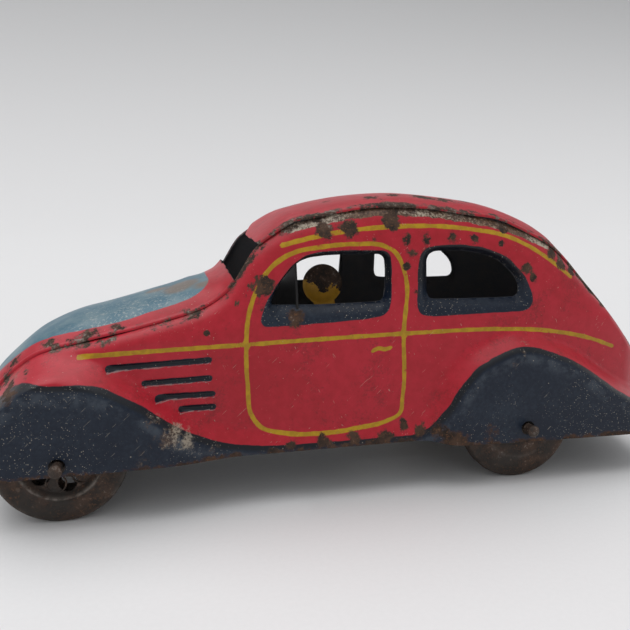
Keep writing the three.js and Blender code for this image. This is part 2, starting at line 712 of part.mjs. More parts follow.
function framePlate() {
  const low = WHEEL_RADIUS - 3.4;
  const frontX = MOTOR_BAY_FRONT + 4;
  const rearX = MOTOR_BAY_REAR - 4;
  const shape = new THREE.Shape([
    [rearX, footHeight], [MOTOR_BAY_REAR + 0.5, footHeight], [MOTOR_BAY_REAR + 2.5, low],
    [idlerX + 6, low], [MOTOR_BAY_FRONT - 4, footHeight], [frontX, footHeight],
    [frontX, barrelZ], [barrelX + 4, barrelZ + 5], [idlerX, idlerZ + 6],
    [REAR_AXLE_X - 9, idlerZ + 6], [rearX, WHEEL_RADIUS + 5],
  ].map(([x, z]) => new THREE.Vector2(x, z)));
  const holes = [
    [REAR_AXLE_X, WHEEL_RADIUS, AXLE_RADIUS + FIT], [idlerX, idlerZ, ARBOR_RADIUS + FIT],
    [barrelX, barrelZ, ARBOR_RADIUS + FIT],
  ];
  for (const [x, z, radius] of holes) {
    const hole = new THREE.Path();
    hole.absarc(x, z, radius, 0, 2 * Math.PI, true);
    shape.holes.push(hole);
  }
  return shape;
}

add('motor_frame_left', plateAlongY(framePlate(), frameInside, MOTOR_HALF_WIDTH, 8), steel);
add('motor_frame_right', plateAlongY(framePlate(), -MOTOR_HALF_WIDTH, -frameInside, 8), steel);
pillarPlaces.forEach(([x, z], i) => {
  const pillar = new THREE.CylinderGeometry(PILLAR_RADIUS, PILLAR_RADIUS,
    2 * (frameInside - FIT), 12);
  pillar.translate(x, 0, z);
  add(`frame_pillar_${i + 1}`, pillar, steel);
});

export default group;
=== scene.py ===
import math
import bpy
import numpy as np
from mathutils import Matrix, Vector


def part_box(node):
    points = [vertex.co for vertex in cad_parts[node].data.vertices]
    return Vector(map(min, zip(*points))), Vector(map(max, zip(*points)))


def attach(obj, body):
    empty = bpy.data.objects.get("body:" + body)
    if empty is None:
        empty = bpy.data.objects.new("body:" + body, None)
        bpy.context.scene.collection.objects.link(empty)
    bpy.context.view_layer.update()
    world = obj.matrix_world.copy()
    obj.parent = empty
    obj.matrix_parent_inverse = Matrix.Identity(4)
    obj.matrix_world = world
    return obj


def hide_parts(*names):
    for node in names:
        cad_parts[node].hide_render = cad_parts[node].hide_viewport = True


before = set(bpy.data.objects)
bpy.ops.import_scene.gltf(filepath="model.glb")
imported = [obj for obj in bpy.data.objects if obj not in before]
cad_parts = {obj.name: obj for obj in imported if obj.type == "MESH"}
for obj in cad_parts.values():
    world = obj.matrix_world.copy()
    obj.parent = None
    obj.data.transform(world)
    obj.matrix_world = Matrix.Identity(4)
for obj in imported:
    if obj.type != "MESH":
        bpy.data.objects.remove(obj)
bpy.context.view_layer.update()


# ---- Studio ------------------------------------------------------------------
# A pale paper sweep: flat under the car, then curving up far behind it, with shade painted into
# its colour that darkens it with height. One very wide, soft lamp shines from above and a little behind the
# car.

SWEEP_HALF_WIDTH = 3.0
SWEEP_FRONT = 1.6
SWEEP_BACK = 0.9
SWEEP_RADIUS = 2.2
SWEEP_TOP = 3.2
CAMERA_PLACE = (0.0451, 0.1773, 0.075)
CAMERA_TURN = math.radians(12.63)   # from looking straight across the car, towards the tail
CAMERA_DIP = math.radians(10.66)
CAMERA_LENS = 38.857
LAMP_PLACE = (0.25, -0.25, 1.6)
LAMP_STRENGTH = 1.85
LAMP_SPREAD = 1.2           # radians
AIR_COLOUR = (0.80, 0.81, 0.82, 1)
AIR_STRENGTH = 0.72
PAPER_DARK = (0.72, 0.715, 0.72, 1)
PAPER_LIGHT = (0.76, 0.755, 0.76, 1)
# The colour the paper is darkened to high up, as painted shade.
PAPER_PAINTED_SHADE = (0.36, 0.36, 0.363, 1)


def put(tree, kind, inputs=None, **settings):
    """Adds a node; inputs maps socket names or numbers to values or to other sockets."""
    made = tree.nodes.new(kind)
    for name, value in settings.items():
        setattr(made, name, value)
    for key, value in (inputs or {}).items():
        if isinstance(value, bpy.types.NodeSocket):
            tree.links.new(value, made.inputs[key])
        else:
            made.inputs[key].default_value = value
    return made


def new_material(name):
    """Empty material; gives it, its node tree and the place on the object."""
    material = bpy.data.materials.new(name)
    material.use_nodes = True
    tree = material.node_tree
    tree.nodes.clear()
    return material, tree, put(tree, "ShaderNodeTexCoord").outputs["Object"]


def surface(tree, **sockets):
    """Principled shader and output; keyword names are socket names with _ for spaces."""
    shader = put(tree, "ShaderNodeBsdfPrincipled",
                 {name.replace("_", " "): value for name, value in sockets.items()})
    put(tree, "ShaderNodeOutputMaterial", {"Surface": shader.outputs["BSDF"]})


def blend(tree, share, first, second):
    made = put(tree, "ShaderNodeMix", {0: share, 6: first, 7: second}, data_type="RGBA")
    return made.outputs[2]


def rise(tree, value, low, high):
    """0 below low, 1 above high, smooth between."""
    made = put(tree, "ShaderNodeMapRange", {"Value": value, "From Min": low, "From Max": high},
               interpolation_type="SMOOTHSTEP")
    return made.outputs["Result"]


def noise(tree, place, scale, detail=3.0, roughness=0.5, seed=0.0):
    made = put(tree, "ShaderNodeTexNoise",
               {"Vector": place, "W": seed, "Scale": scale, "Detail": detail,
                "Roughness": roughness}, noise_dimensions="4D")
    return made.outputs["Fac"]


def paper_material():
    material, tree, place = new_material("studio_paper")
    grain = noise(tree, place, 900.0, 2.0)
    tone = blend(tree, grain, PAPER_DARK, PAPER_LIGHT)
    height = put(tree, "ShaderNodeSeparateXYZ", {"Vector": place}).outputs["Z"]
    # Painted shade: the paper's colour darkens with height.
    tone = blend(tree, rise(tree, height, -0.2, 1.7), tone, PAPER_PAINTED_SHADE)
    surface(tree, Base_Color=tone, Roughness=0.6)
    return material


def make_sweep():
    bend = [(-SWEEP_BACK - SWEEP_RADIUS * math.sin(a), SWEEP_RADIUS * (1 - math.cos(a)))
            for a in np.linspace(0, math.pi / 2, 24)]
    section = [(SWEEP_FRONT, 0.0)] + bend + [(bend[-1][0], SWEEP_TOP)]
    verts = [(x, y, z) for y, z in section for x in (-SWEEP_HALF_WIDTH, SWEEP_HALF_WIDTH)]
    faces = [(2 * i, 2 * i + 1, 2 * i + 3, 2 * i + 2) for i in range(len(section) - 1)]
    mesh = bpy.data.meshes.new("studio_sweep")
    mesh.from_pydata(verts, [], faces)
    mesh.polygons.foreach_set("use_smooth", [True] * len(mesh.polygons))
    mesh.materials.append(paper_material())
    sweep = bpy.data.objects.new("studio_sweep", mesh)
    bpy.context.scene.collection.objects.link(sweep)


def make_lamp(name, place, strength, spread):
    """A wide, even light that falls on the car from the direction of place."""
    lamp = bpy.data.lights.new(name, "SUN")
    lamp.energy = strength
    lamp.angle = spread
    holder = bpy.data.objects.new(name, lamp)
    holder.rotation_euler = (-Vector(place)).to_track_quat("-Z", "Y").to_euler()
    bpy.context.scene.collection.objects.link(holder)


def make_camera():
    lens = bpy.data.cameras.new("camera")
    lens.lens = CAMERA_LENS
    lens.clip_start = 0.01
    camera = bpy.data.objects.new("camera", lens)
    camera.location = CAMERA_PLACE
    camera.rotation_euler = (math.pi / 2 - CAMERA_DIP, 0.0, math.pi - CAMERA_TURN)
    bpy.context.scene.collection.objects.link(camera)
    bpy.context.scene.camera = camera


make_sweep()
make_lamp("sky_lamp", LAMP_PLACE, LAMP_STRENGTH, LAMP_SPREAD)
world = bpy.data.worlds.new("studio_air")
world.use_nodes = True
world.node_tree.nodes["Background"].inputs["Color"].default_value = AIR_COLOUR
world.node_tree.nodes["Background"].inputs["Strength"].default_value = AIR_STRENGTH
bpy.context.scene.world = world
bpy.context.scene.view_settings.view_transform = "Standard"
make_camera()


# ---- Side pressings ------------------------------------------------------------
# Each side is one sheet of printed tinplate: door, posts, both wings and the running board.
# The wings and louvres are pressed in, the window edges are rolled inwards, and the top edge
# is crimped under the bonnet and roof strips.

MM = 0.001
END_X = 87.6                # the sides end here; the strips crown past it
SIDE_TIN = 0.4
TUCK = 0.5                  # the sides end this far below the seam, under the strips' laps
SILL_FACE = 26.0
WING_FACE = 29.0
WAIST_HEIGHT = 40.0
WHEEL_RADIUS = 15.0
FRONT_AXLE_X = 69.5
REAR_AXLE_X = -43.5
AXLE_HOLE_RADIUS = 1.8
CUT_FROM = 12               # distances from the centre line that the cutters reach over
CUT_TO = 34
HOLE_FROM = 24
SIDE_COLUMNS = 300
SIDE_ROWS = 104
NOSE_PAINT_DROP = 2.2       # the printed wing edge runs this far below the pressed one


def curve_through(points):
    """Smooth curve through the points that never overshoots them."""
    xs, ys = np.array(sorted(points), dtype=float).T
    slopes = np.diff(ys) / np.diff(xs)
    tangents = np.empty(len(xs))
    tangents[0], tangents[-1] = slopes[0], slopes[-1]
    before, after = slopes[:-1], slopes[1:]
    together = np.where(np.abs(before + after) > 1e-9, before + after, 1.0)
    tangents[1:-1] = np.where(before * after > 0, 2 * before * after / together, 0.0)

    def curve(x):
        x = np.clip(x, xs[0], xs[-1])
        i = np.clip(np.searchsorted(xs, x, side="right") - 1, 0, len(xs) - 2)
        step = xs[i + 1] - xs[i]
        t = (x - xs[i]) / step
        share = t * t * (3 - 2 * t)
        bend = step * t * (1 - t)
        return (ys[i] * (1 - share) + ys[i + 1] * share
                + bend * (tangents[i] * (1 - t) - tangents[i + 1] * t))
    return curve


seam_height = curve_through([
    (87.6, 20), (86, 26), (82, 31.8), (73, 38.2), (58, 41.6), (48.6, 44), (37, 47.4), (31, 51.2),
    (23.3, 62), (13, 67.5), (-8, 70.7), (-33, 68), (-52, 61.2), (-66, 48.8), (-79, 35.4),
    (-84.5, 28), (-87.6, 17)])
seam_half_width = curve_through([
    (87.6, 12.5), (75, 15.2), (45, 17.8), (0, 18.8), (-50, 17.4), (-75, 14.8), (-87.6, 12.5)])
waist_half_width = curve_through([
    (87.6, 12.5), (75, 18.5), (45, 22.4), (20, 24.3), (-8, 24.6), (-40, 23.9), (-60, 21.6),
    (-78, 18), (-87.6, 12.5)])
wing_height = curve_through([
    (87.6, 22), (83, 31), (74, 35.9), (65.4, 34.3), (53.4, 28.4), (40.8, 19.9), (30, 15.6),
    (18, 14.4), (-13, 14.3), (-17.4, 15.6), (-21.6, 20.2), (-25.4, 26.6), (-31, 32.2),
    (-41.5, 35.9), (-54, 32.4), (-72, 21.5), (-87.6, 13.5)])
lower_edge = curve_through([(87.6, 12.6), (-15, 12.8), (-24, 11.8), (-87.6, 10.6)])
crown = curve_through([
    (87.6, 1.6), (80, 1.6), (62, 3.9), (38, 4), (32, 2.4), (28.5, 1.1), (22.5, 0.6), (12, 1.2), (-4, 1.5),
    (-17, 2.3), (-48, 3), (-53, 2.4), (-59, 0.6), (-66, 0.2), (-76, 0.3), (-85, 1.6)])


def smooth_step(low, high, value):
    t = np.clip((value - low) / (high - low), 0.0, 1.0)
    return t * t * (3 - 2 * t)


def wing_depth(x, z):
    """Distance below the wings' top edge, positive on the wing."""
    slope = (wing_height(x + 0.05) - wing_height(x - 0.05)) / 0.1
    return (wing_height(x) - z) / np.hypot(1, slope)


def side_half_width(x, z):
    """Distance of the plain pressed side from the centre line."""
    seam = seam_height(x) - TUCK
    waist = np.minimum(WAIST_HEIGHT, seam - 3)
    up = np.clip((z - waist) / (seam - waist), 0, 1)
    lean = 0.5 * up ** 1.7 + 0.5 * up ** 9
    door = waist_half_width(x) - (waist_half_width(x) - seam_half_width(x)) * lean
    on_wing = np.maximum(smooth_step(27, 48, x), smooth_step(17, 26, -x))
    start = np.where(x > 0, 79, 70)
    end = np.sqrt(1 - np.clip((np.abs(x) - start) / (END_X - start), 0, 1) ** 3)
    flat = SILL_FACE + (WING_FACE - SILL_FACE) * on_wing
    face = seam_half_width(x) + (flat - seam_half_width(x)) * end
    lip = smooth_step(-4.0, 2.0, wing_depth(x, z)) * smooth_step(0, 5, seam - z)
    return door + np.maximum(face - door, 0) * lip


def rounded(corners, steps=6):
    """Closed outline through [x, z, radius] corners, each corner rounded off."""
    outline = []
    count = len(corners)
    for i, (x, z, radius) in enumerate(corners):
        here = np.array((x, z))
        ends = []
        for other in (corners[i - 1], corners[(i + 1) % count]):
            run = np.array(other[:2]) - here
            ends.append(here + run * radius / np.hypot(*run))
        for t in np.linspace(0, 1, steps + 1):
            outline.append((1 - t) ** 2 * ends[0] + 2 * t * (1 - t) * here + t * t * ends[1])
    return np.array(outline)


def through(points, per_run=8, closed=False):
    """Dense smooth line through a few points, which may be unevenly spaced."""
    p = np.array(points, dtype=float)
    p = np.vstack([p[-1], p, p[:2]]) if closed else np.vstack([2 * p[0] - p[1], p, 2 * p[-1] - p[-2]])
    gaps = np.hypot(*np.diff(p, axis=0).T)[:, None]
    slopes = np.diff(p, axis=0) / gaps
    pulls = (slopes[:-1] * gaps[1:] + slopes[1:] * gaps[:-1]) / (gaps[:-1] + gaps[1:])
    line = []
    for i in range(1, len(p) - 2):
        for t in np.arange(per_run) / per_run:
            share = t * t * (3 - 2 * t)
            bend = t * (1 - t) * gaps[i] * (pulls[i - 1] * (1 - t) - pulls[i] * t)
            line.append(p[i] * (1 - share) + p[i + 1] * share + bend)
    return np.array(line if closed else line + [p[-2]])


def distance_to(line, x, z, closed=False):
    """Shortest distance from each (x, z) to a line of points."""
    starts = line if closed else line[:-1]
    ends = np.roll(line, -1, axis=0) if closed else line[1:]
    best = np.full(x.shape, 1e9)
    for (ax, az), (bx, bz) in zip(starts, ends):
        dx, dz = bx - ax, bz - az
        t = np.clip(((x - ax) * dx + (z - az) * dz) / max(dx * dx + dz * dz, 1e-12), 0, 1)
        best = np.minimum(best, np.hypot(x - ax - t * dx, z - az - t * dz))
    return best


def inside_of(line, x, z):
    """Signed distance to a closed outline, positive inside."""
    crossings = np.zeros(x.shape, dtype=int)
    for (ax, az), (bx, bz) in zip(line, np.roll(line, -1, axis=0)):
        if az == bz:
            continue
        spans = (az > z) != (bz > z)
        crossings += spans & (x < (bx - ax) * (z - az) / (bz - az) + ax)
    return distance_to(line, x, z, closed=True) * np.where(crossings % 2 == 1, 1, -1)


def softened(points, reach=1.4):
    """Closed outline through the points with every corner rounded off."""
    ring_points = np.array(points, dtype=float)
    gaps = np.hypot(*(ring_points - np.roll(ring_points, 1, axis=0)).T)
    room = np.minimum(reach, 0.48 * np.minimum(gaps, np.roll(gaps, -1)))
    return rounded([(x, z, r) for (x, z), r in zip(ring_points, room)], 3)


FRONT_WINDOW = softened([
    (20.8, 47.8), (20.6, 49.2), (19.8, 51), (17.7, 54.2), (14.8, 57.3), (11.7, 58.7), (5.9, 59.2),
    (-5.7, 59.2), (-7, 58.4), (-7.2, 55), (-6.9, 49.6), (-6.5, 48.2), (-5, 47.7), (10, 47.5)])
FRONT_FRAME = softened([
    (23.7, 44.2), (23.3, 46.2), (22.1, 49), (19.9, 52.4), (16.2, 57), (13, 59.3), (9, 60.2), (1.7, 60.4),
    (-6.6, 60.2), (-8, 59), (-8.2, 57.3), (-8, 48.3), (-7.4, 45.9), (-6, 44.7), (-3, 44.1),
    (9.6, 43.4), (20.3, 43), (22.8, 43.1)])
REAR_WINDOW = softened([
    (-17.9, 57.4), (-18.5, 58.9), (-20.2, 59.6), (-26.4, 59.6), (-32.7, 58.7), (-37.6, 56.9),
    (-41.7, 53.4), (-43.1, 50.9), (-43.2, 48.6), (-42.2, 47.6), (-36.9, 47.5), (-20.5, 47.8), (-18.5, 48.1),
    (-17.9, 49.6)])
REAR_FRAME = softened([
    (-14.8, 56), (-15.5, 59), (-16.8, 60.5), (-19.5, 61.1), (-26.5, 61.2), (-32.8, 60.3), (-39.2, 57.7),
    (-44, 52.9), (-46, 48.6), (-46.2, 46.2), (-45.2, 44.7), (-43.3, 44.2), (-17.9, 43.9), (-15.3, 44.6),
    (-14.5, 47)])
LOUVRES = [((58.2, 34.5), (35.6, 35.7)), ((50.4, 30.7), (35.7, 31.4)), ((47.6, 27.3), (35.1, 27.6)),
           ((42.4, 24.3), (35.0, 24.5))]
LOUVRE_RADIUS = 0.7
FRAME_ROLL = 2.4            # how far the window edges are rolled inwards
LOUVRE_DEPTH = 0.5
COACH_LINES = [
    through([(64.5, 37.3), (46, 38.3), (27, 39.1), (7, 39.7), (-18, 40.1), (-37, 39.9), (-46, 39.3),
             (-55, 37.9), (-65, 35.5), (-73, 32.6)]),
    through([(27.1, 38), (26.3, 46), (24.1, 52), (20.5, 57), (15.5, 60), (8.9, 61.2), (0, 61.8),
             (-5.5, 61.5), (-9.2, 59.6), (-11.2, 55.5), (-11.2, 40), (-11.3, 24), (-10.6, 19.8),
             (-7.6, 18.3), (0, 17), (10, 16.4), (19, 17.2), (24, 18.9), (26.2, 22), (26.9, 29)],
            closed=True),
    through([(18, 61.7), (10, 63.6), (0, 65.1), (-10, 65.7), (-21, 65.6), (-30, 64.7), (-38, 63.3),
             (-44, 61.1), (-51, 57.2), (-58.5, 52)]),
    through([(-3.4, 36.1), (-4.8, 36.7), (-6.4, 36.4), (-7.9, 36.7)]),
]
# Worn places: x, z, radius and strength.
LEFT_WEAR = [(23.4, 51.5, 1.9, 0.95), (24.2, 54, 1.5, 0.7), (27, 50.5, 1.3, 0.6), (-12, 56.5, 1.7, 0.95),
             (-39, 64.8, 1.6, 1.0), (-37.5, 61.2, 1.2, 0.85), (8, 65, 2.6, 0.8), (2, 65.6, 2.8, 0.8),
             (-8.5, 66.6, 2.4, 0.95), (-4, 62.6, 1.2, 0.6), (-13.5, 59.4, 2.4, 0.72), (-17, 62, 3, 0.68),
             (-12.6, 62.6, 2.4, 0.66), (-24, 63, 2.4, 0.64), (-44.5, 55, 2.2, 0.68),
             (-46.4, 52.4, 2, 0.64), (-30, 62.6, 2, 0.6), (-13, 54, 1.8, 0.66), (-14.4, 50, 1.6, 0.6),
             (-53, 58.2, 2.1, 0.85), (-55.6, 55.9, 2, 0.8), (-59.5, 53.6, 1.7, 0.8), (29, 48.6, 0.9, 0.95),
             (36, 42, 0.8, 0.95), (-16, 15.4, 3.0, 0.72), (-12, 16.3, 2.4, 0.62), (-20, 14.5, 4, 0.75),
             (22.4, 52.4, 3.0, 0.95), (25.4, 52.6, 1.8, 0.8), (-23.5, 12, 4.5, 0.9), (-7, 14.2, 3.2, 0.62),
             (1, 14.2, 3.2, 0.64), (9, 14, 3.2, 0.6),
             (17, 14, 2.8, 0.62), (24, 13.4, 3, 0.45), (79, 31.5, 3.2, 0.62), (83, 28.5, 3.4, 0.55),
             (4, 44.3, 4, 0.35), (15, 44.9, 3.4, 0.66), (-33, 12.6, 5, 0.5), (46, 40.5, 4, 0.3),
             (31, 51.5, 2, 0.5), (34, 49.4, 2.4, 0.45), (38, 46, 3, 0.4), (66, 39.4, 3, 0.45),
             (72, 37.4, 2.4, 0.5), (81, 31.5, 2, 0.5), (76, 34.5, 2, 0.55)]
RIGHT_WEAR = [(30, 15, 8, 0.8), (-20, 13, 9, 0.8), (74, 35, 5, 0.7), (-5, 67, 8, 0.8), (-46, 62, 4, 0.9),
              (15, 62, 3, 0.7), (5, 45, 6, 0.5), (-30, 35, 5, 0.5), (-62, 28, 7, 0.6), (52, 42, 5, 0.6),
              (10, 30, 4, 0.35), (-14, 52, 3, 0.6), (-70, 14, 7, 0.8), (60, 14, 6, 0.5)]
PALE_WEAR = [(45, 19.6, 3.2, 1.0), (41.5, 18.2, 2.6, 0.8), (49, 23.2, 3.0, 0.62), (35, 15.6, 3, 0.45),
             (-41, 34.0, 5, 0.4), (80, 33, 4, 0.6), (50, 16, 4, 0.4)]


def blobs(places, x, z):
    total = np.zeros(x.shape)
    for px, pz, radius, strength in places:
        total = np.maximum(total, strength * np.exp(-((x - px) ** 2 + (z - pz) ** 2) / radius ** 2))
    return total


def louvre_field(x, z):
    field = np.full(x.shape, -1e9)
    for ends in LOUVRES:
        field = np.maximum(field, LOUVRE_RADIUS - distance_to(np.array(ends), x, z))
    return field


def louvre_lip(x, z):
    """How much a point lies on the turned-out lower edge of a louvre, where a highlight is painted."""
    lip = np.zeros(x.shape)
    for (ax, az), (bx, bz) in LOUVRES:
        share = np.clip((x - ax) / (bx - ax), 0, 1)
        below = az + (bz - az) * share - z
        off = distance_to(np.array([(ax, az), (bx, bz)]), x, z) - LOUVRE_RADIUS
        lip = np.maximum(lip, smooth_step(0.3, 0.7, below) * smooth_step(0.42, 0.1, np.abs(off - 0.1)))
    return lip


def roll_depth(x, z):
    """Inward roll of the two window edges."""
    depth = np.zeros(x.shape)
    for frame_line, window_line in ((FRONT_FRAME, FRONT_WINDOW), (REAR_FRAME, REAR_WINDOW)):
        outer = inside_of(frame_line, x, z)
        inner = np.maximum(-inside_of(window_line, x, z), 0)
        share = np.clip(outer, 0, None) / np.maximum(np.clip(outer, 0, None) + inner, 1e-6)
        depth += FRAME_ROLL * (1 - np.cos(share * math.pi / 2)) * (outer > 0)
    return depth


def pressed_side(x, z):
    hollow = smooth_step(-0.1, 0.55, louvre_field(x, z)) * LOUVRE_DEPTH
    return side_half_width(x, z) - roll_depth(x, z) - hollow


def sheet_faces(columns, rows):
    """Faces of a closed skin: an outer and an inner grid and the four edges between."""
    size = columns * rows
    grid = np.arange(size).reshape(columns, rows)
    a, b, c, d = grid[:-1, :-1], grid[1:, :-1], grid[1:, 1:], grid[:-1, 1:]
    outer = np.stack([a, b, c, d], -1).reshape(-1, 4)
    faces = [outer, outer[:, ::-1] + size]
    loop = np.concatenate([grid[:, 0], grid[-1, 1:], grid[-2::-1, -1], grid[0, -2:0:-1]])
    after = np.roll(loop, -1)
    faces.append(np.stack([loop, loop + size, after + size, after], -1))
    return np.vstack(faces)


def plain_mesh(name, verts, faces):
    """Mesh of points in mm and faces."""
    mesh = bpy.data.meshes.new(name)
    mesh.from_pydata((np.array(verts) * MM).tolist(), [], faces)
    return mesh


def vertex_places(mesh):
    points = np.empty(len(mesh.vertices) * 3)
    mesh.vertices.foreach_get("co", points)
    return points.reshape(-1, 3)


def store(mesh, key, values):
    """Keeps one number per vertex under a name, in place of any kept before."""
    if key in mesh.attributes:
        mesh.attributes.remove(mesh.attributes[key])
    mesh.attributes.new(key, "FLOAT", "POINT").data.foreach_set("value", values)


def sheet_mesh(name, outer, wall, attributes=()):
    """Mesh of a sheet from its outer points in mm; its front must face outwards."""
    across, along = np.gradient(outer, axis=0), np.gradient(outer, axis=1)
    normal = np.cross(across, along)
    normal /= np.maximum(np.linalg.norm(normal, axis=-1, keepdims=True), 1e-9)
    inner = outer - wall * normal
    verts = np.vstack([outer.reshape(-1, 3), inner.reshape(-1, 3)])
    mesh = plain_mesh(name, verts, sheet_faces(*outer.shape[:2]).tolist())
    for key, values in attributes:
        store(mesh, key, np.tile(values.ravel(), 2))
    store(mesh, "back", np.repeat([0.0, 1.0], outer.shape[0] * outer.shape[1]))
    return mesh


def finish_mesh(mesh, sharp_degrees):
    """Outward faces, smooth except at edges sharper than the angle."""
    face_out(mesh)
    mesh.polygons.foreach_set("use_smooth", [True] * len(mesh.polygons))
    mesh.set_sharp_from_angle(angle=math.radians(sharp_degrees))
    mesh.update()


def add_piece(name, mesh, material, body, slot, *replaced):
    mesh.materials.clear()
    mesh.materials.append(material)
    piece = bpy.data.objects.new(name, mesh)
    bpy.context.scene.collection.objects.link(piece)
    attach(piece, body)
    if replaced:
        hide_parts(*replaced)
    return piece


def prism(outline, y_low, y_high):
    """Closed mesh of an outline in X and Z drawn out along Y, in mm."""
    count = len(outline)
    verts = [(x, y_low, z) for x, z in outline] + [(x, y_high, z) for x, z in outline]
    faces = [tuple(range(count)), tuple(range(2 * count - 1, count - 1, -1))]
    faces += [(i, i + count, (i + 1) % count + count, (i + 1) % count) for i in range(count)]
    return plain_mesh("cutter", verts, faces)


def ring(x, z, radius, count):
    turn = np.arange(count) * 2 * math.pi / count
    return np.stack([x + radius * np.cos(turn), z + radius * np.sin(turn)], -1)


def face_out(mesh):
    """Turns a closed mesh so that its faces point outwards."""
    mesh.calc_loop_triangles()
    points = vertex_places(mesh)
    corners = np.empty(len(mesh.loop_triangles) * 3, dtype=int)
    mesh.loop_triangles.foreach_get("vertices", corners)
    a, b, c = (points[corners.reshape(-1, 3)[:, i]] for i in range(3))
    if np.einsum("ij,ij->i", a, np.cross(b, c)).sum() < 0:
        mesh.flip_normals()
    return mesh


def made_mesh(holder):
    """Plain mesh of an object with its modifiers; the object is removed."""
    shaped = holder.evaluated_get(bpy.context.evaluated_depsgraph_get())
    mesh = bpy.data.meshes.new_from_object(shaped)
    bpy.data.objects.remove(holder)
    return mesh


def cut_away(mesh, cutters):
    """The mesh with every cutter taken out of it."""
    scene = bpy.context.scene
    body = bpy.data.objects.new("cut_work", mesh)
    scene.collection.objects.link(body)
    helpers = []
    for cutter_mesh in cutters:
        cutter = bpy.data.objects.new("cut_tool", face_out(cutter_mesh))
        scene.collection.objects.link(cutter)
        modifier = body.modifiers.new("cut", "BOOLEAN")
        modifier.operation = "DIFFERENCE"
        modifier.solver = "EXACT"
        modifier.object = cutter
        helpers.append(cutter)
    result = made_mesh(body)
    for leftover in helpers:
        bpy.data.objects.remove(leftover)
    return result


def paint_fields(mesh, wear):
    """Stores on each vertex how far it is from every painted and pressed feature, in mm."""
    x, y, z = vertex_places(mesh).T / MM
    coach = np.full(x.shape, 1e9)
    for number, line in enumerate(COACH_LINES):
        coach = np.minimum(coach, distance_to(line, x, z, closed=number == 1))
    fields = {
        "wing": wing_depth(x, z) - NOSE_PAINT_DROP * smooth_step(58, 72, x) * smooth_step(87, 81, x),
        "frame": np.maximum(inside_of(FRONT_FRAME, x, z), inside_of(REAR_FRAME, x, z)),
        "louvre": louvre_field(x, z),
        "coach": coach,
        "seam": seam_height(x) - z,
        "hem": z - lower_edge(x),
        "lip": louvre_lip(x, z),
        "band": (smooth_step(0.0, 0.3, seam_height(x) - z) * smooth_step(3.4, 1.6, seam_height(x) - z)
                 * smooth_step(-58, -48, x) * smooth_step(20, 12, x)),
        "wear": blobs(wear, x, z),
        "pale": blobs(PALE_WEAR, x, z),
        "back": (pressed_side(x, z) - np.abs(y) > 0.5 * SIDE_TIN).astype(float),
    }
    for key, values in fields.items():
        store(mesh, key, values)


def new_group(name, inputs, outputs):
    """Shader node group; inputs are name: (kind, default) and outputs name: kind."""
    tree = bpy.data.node_groups.new(name, "ShaderNodeTree")
    kinds = {"float": "NodeSocketFloat", "colour": "NodeSocketColor", "vector": "NodeSocketVector"}
    for key, (kind, default) in inputs.items():
        socket = tree.interface.new_socket(key, in_out="INPUT", socket_type=kinds[kind])
        socket.default_value = default
    for key, kind in outputs.items():
        tree.interface.new_socket(key, in_out="OUTPUT", socket_type=kinds[kind])
    return tree, put(tree, "NodeGroupInput").outputs


def close_group(tree, **results):
    put(tree, "NodeGroupOutput", {name.replace("_", " "): value for name, value in results.items()})
    return tree


def use_group(tree, group, **inputs):
    made = tree.nodes.new("ShaderNodeGroup")
    made.node_tree = group
    for name, value in inputs.items():
        socket = made.inputs[name.replace("_", " ")]
        if isinstance(value, bpy.types.NodeSocket):
            tree.links.new(value, socket)
        else:
            socket.default_value = value
    return made.outputs


def calc(tree, operation, first, second=0.0):
    return put(tree, "ShaderNodeMath", {0: first, 1: second}, operation=operation).outputs[0]


def times(tree, first, second):
    return calc(tree, "MULTIPLY", first, second)


def plus(tree, first, second):
    return calc(tree, "ADD", first, second)


def minus(tree, first, second):
    return calc(tree, "SUBTRACT", first, second)


def larger(tree, first, second):
    return calc(tree, "MAXIMUM", first, second)


def bumped(tree, height, distance):
    made = put(tree, "ShaderNodeBump", {"Height": height, "Strength": 1.0, "Distance": distance})
    return made.outputs["Normal"]


def tint(tree, mask, share, under, over):
    """Lays a colour over another where the mask is, as strongly as share."""
    return blend(tree, times(tree, mask, share), under, over)


def wobble(tree, place):
    """Small uneven shift, in mm, that roughens a printed edge."""
    return times(tree, minus(tree, noise(tree, place, 350.0, 3.0), 0.5), 0.5)


def worn_by(tree, wear, masks):
    """The strongest of the wear and of each mask times its share."""
    for mask, share in masks:
        wear = larger(tree, wear, times(tree, mask, share))
    return wear


def fall(tree, value, low, high):
    """1 below low, 0 above high, smooth between."""
    return minus(tree, 1.0, rise(tree, value, low, high))


def make_chips_group():
    """Ragged flakes: Wear raises how much of the surface is flaked, 0 none to 1 all."""
    tree, given = new_group("flaked_paint", {
        "Place": ("vector", (0, 0, 0)), "Wear": ("float", 0.2), "Grain": ("float", 500.0),
        "Seed": ("float", 0.0)}, {"Mask": "float", "Rim": "float"})
    coarse = noise(tree, given["Place"], given["Grain"], 6.0, 0.72, given["Seed"])
    wide = noise(tree, given["Place"], times(tree, given["Grain"], 0.27), 3.0, 0.5, given["Seed"])
    mixed = plus(tree, times(tree, coarse, 0.6), times(tree, wide, 0.4))
    level = plus(tree, mixed, times(tree, given["Wear"], 0.42))
    return close_group(tree, Mask=rise(tree, level, 0.715, 0.745), Rim=rise(tree, level, 0.68, 0.72))


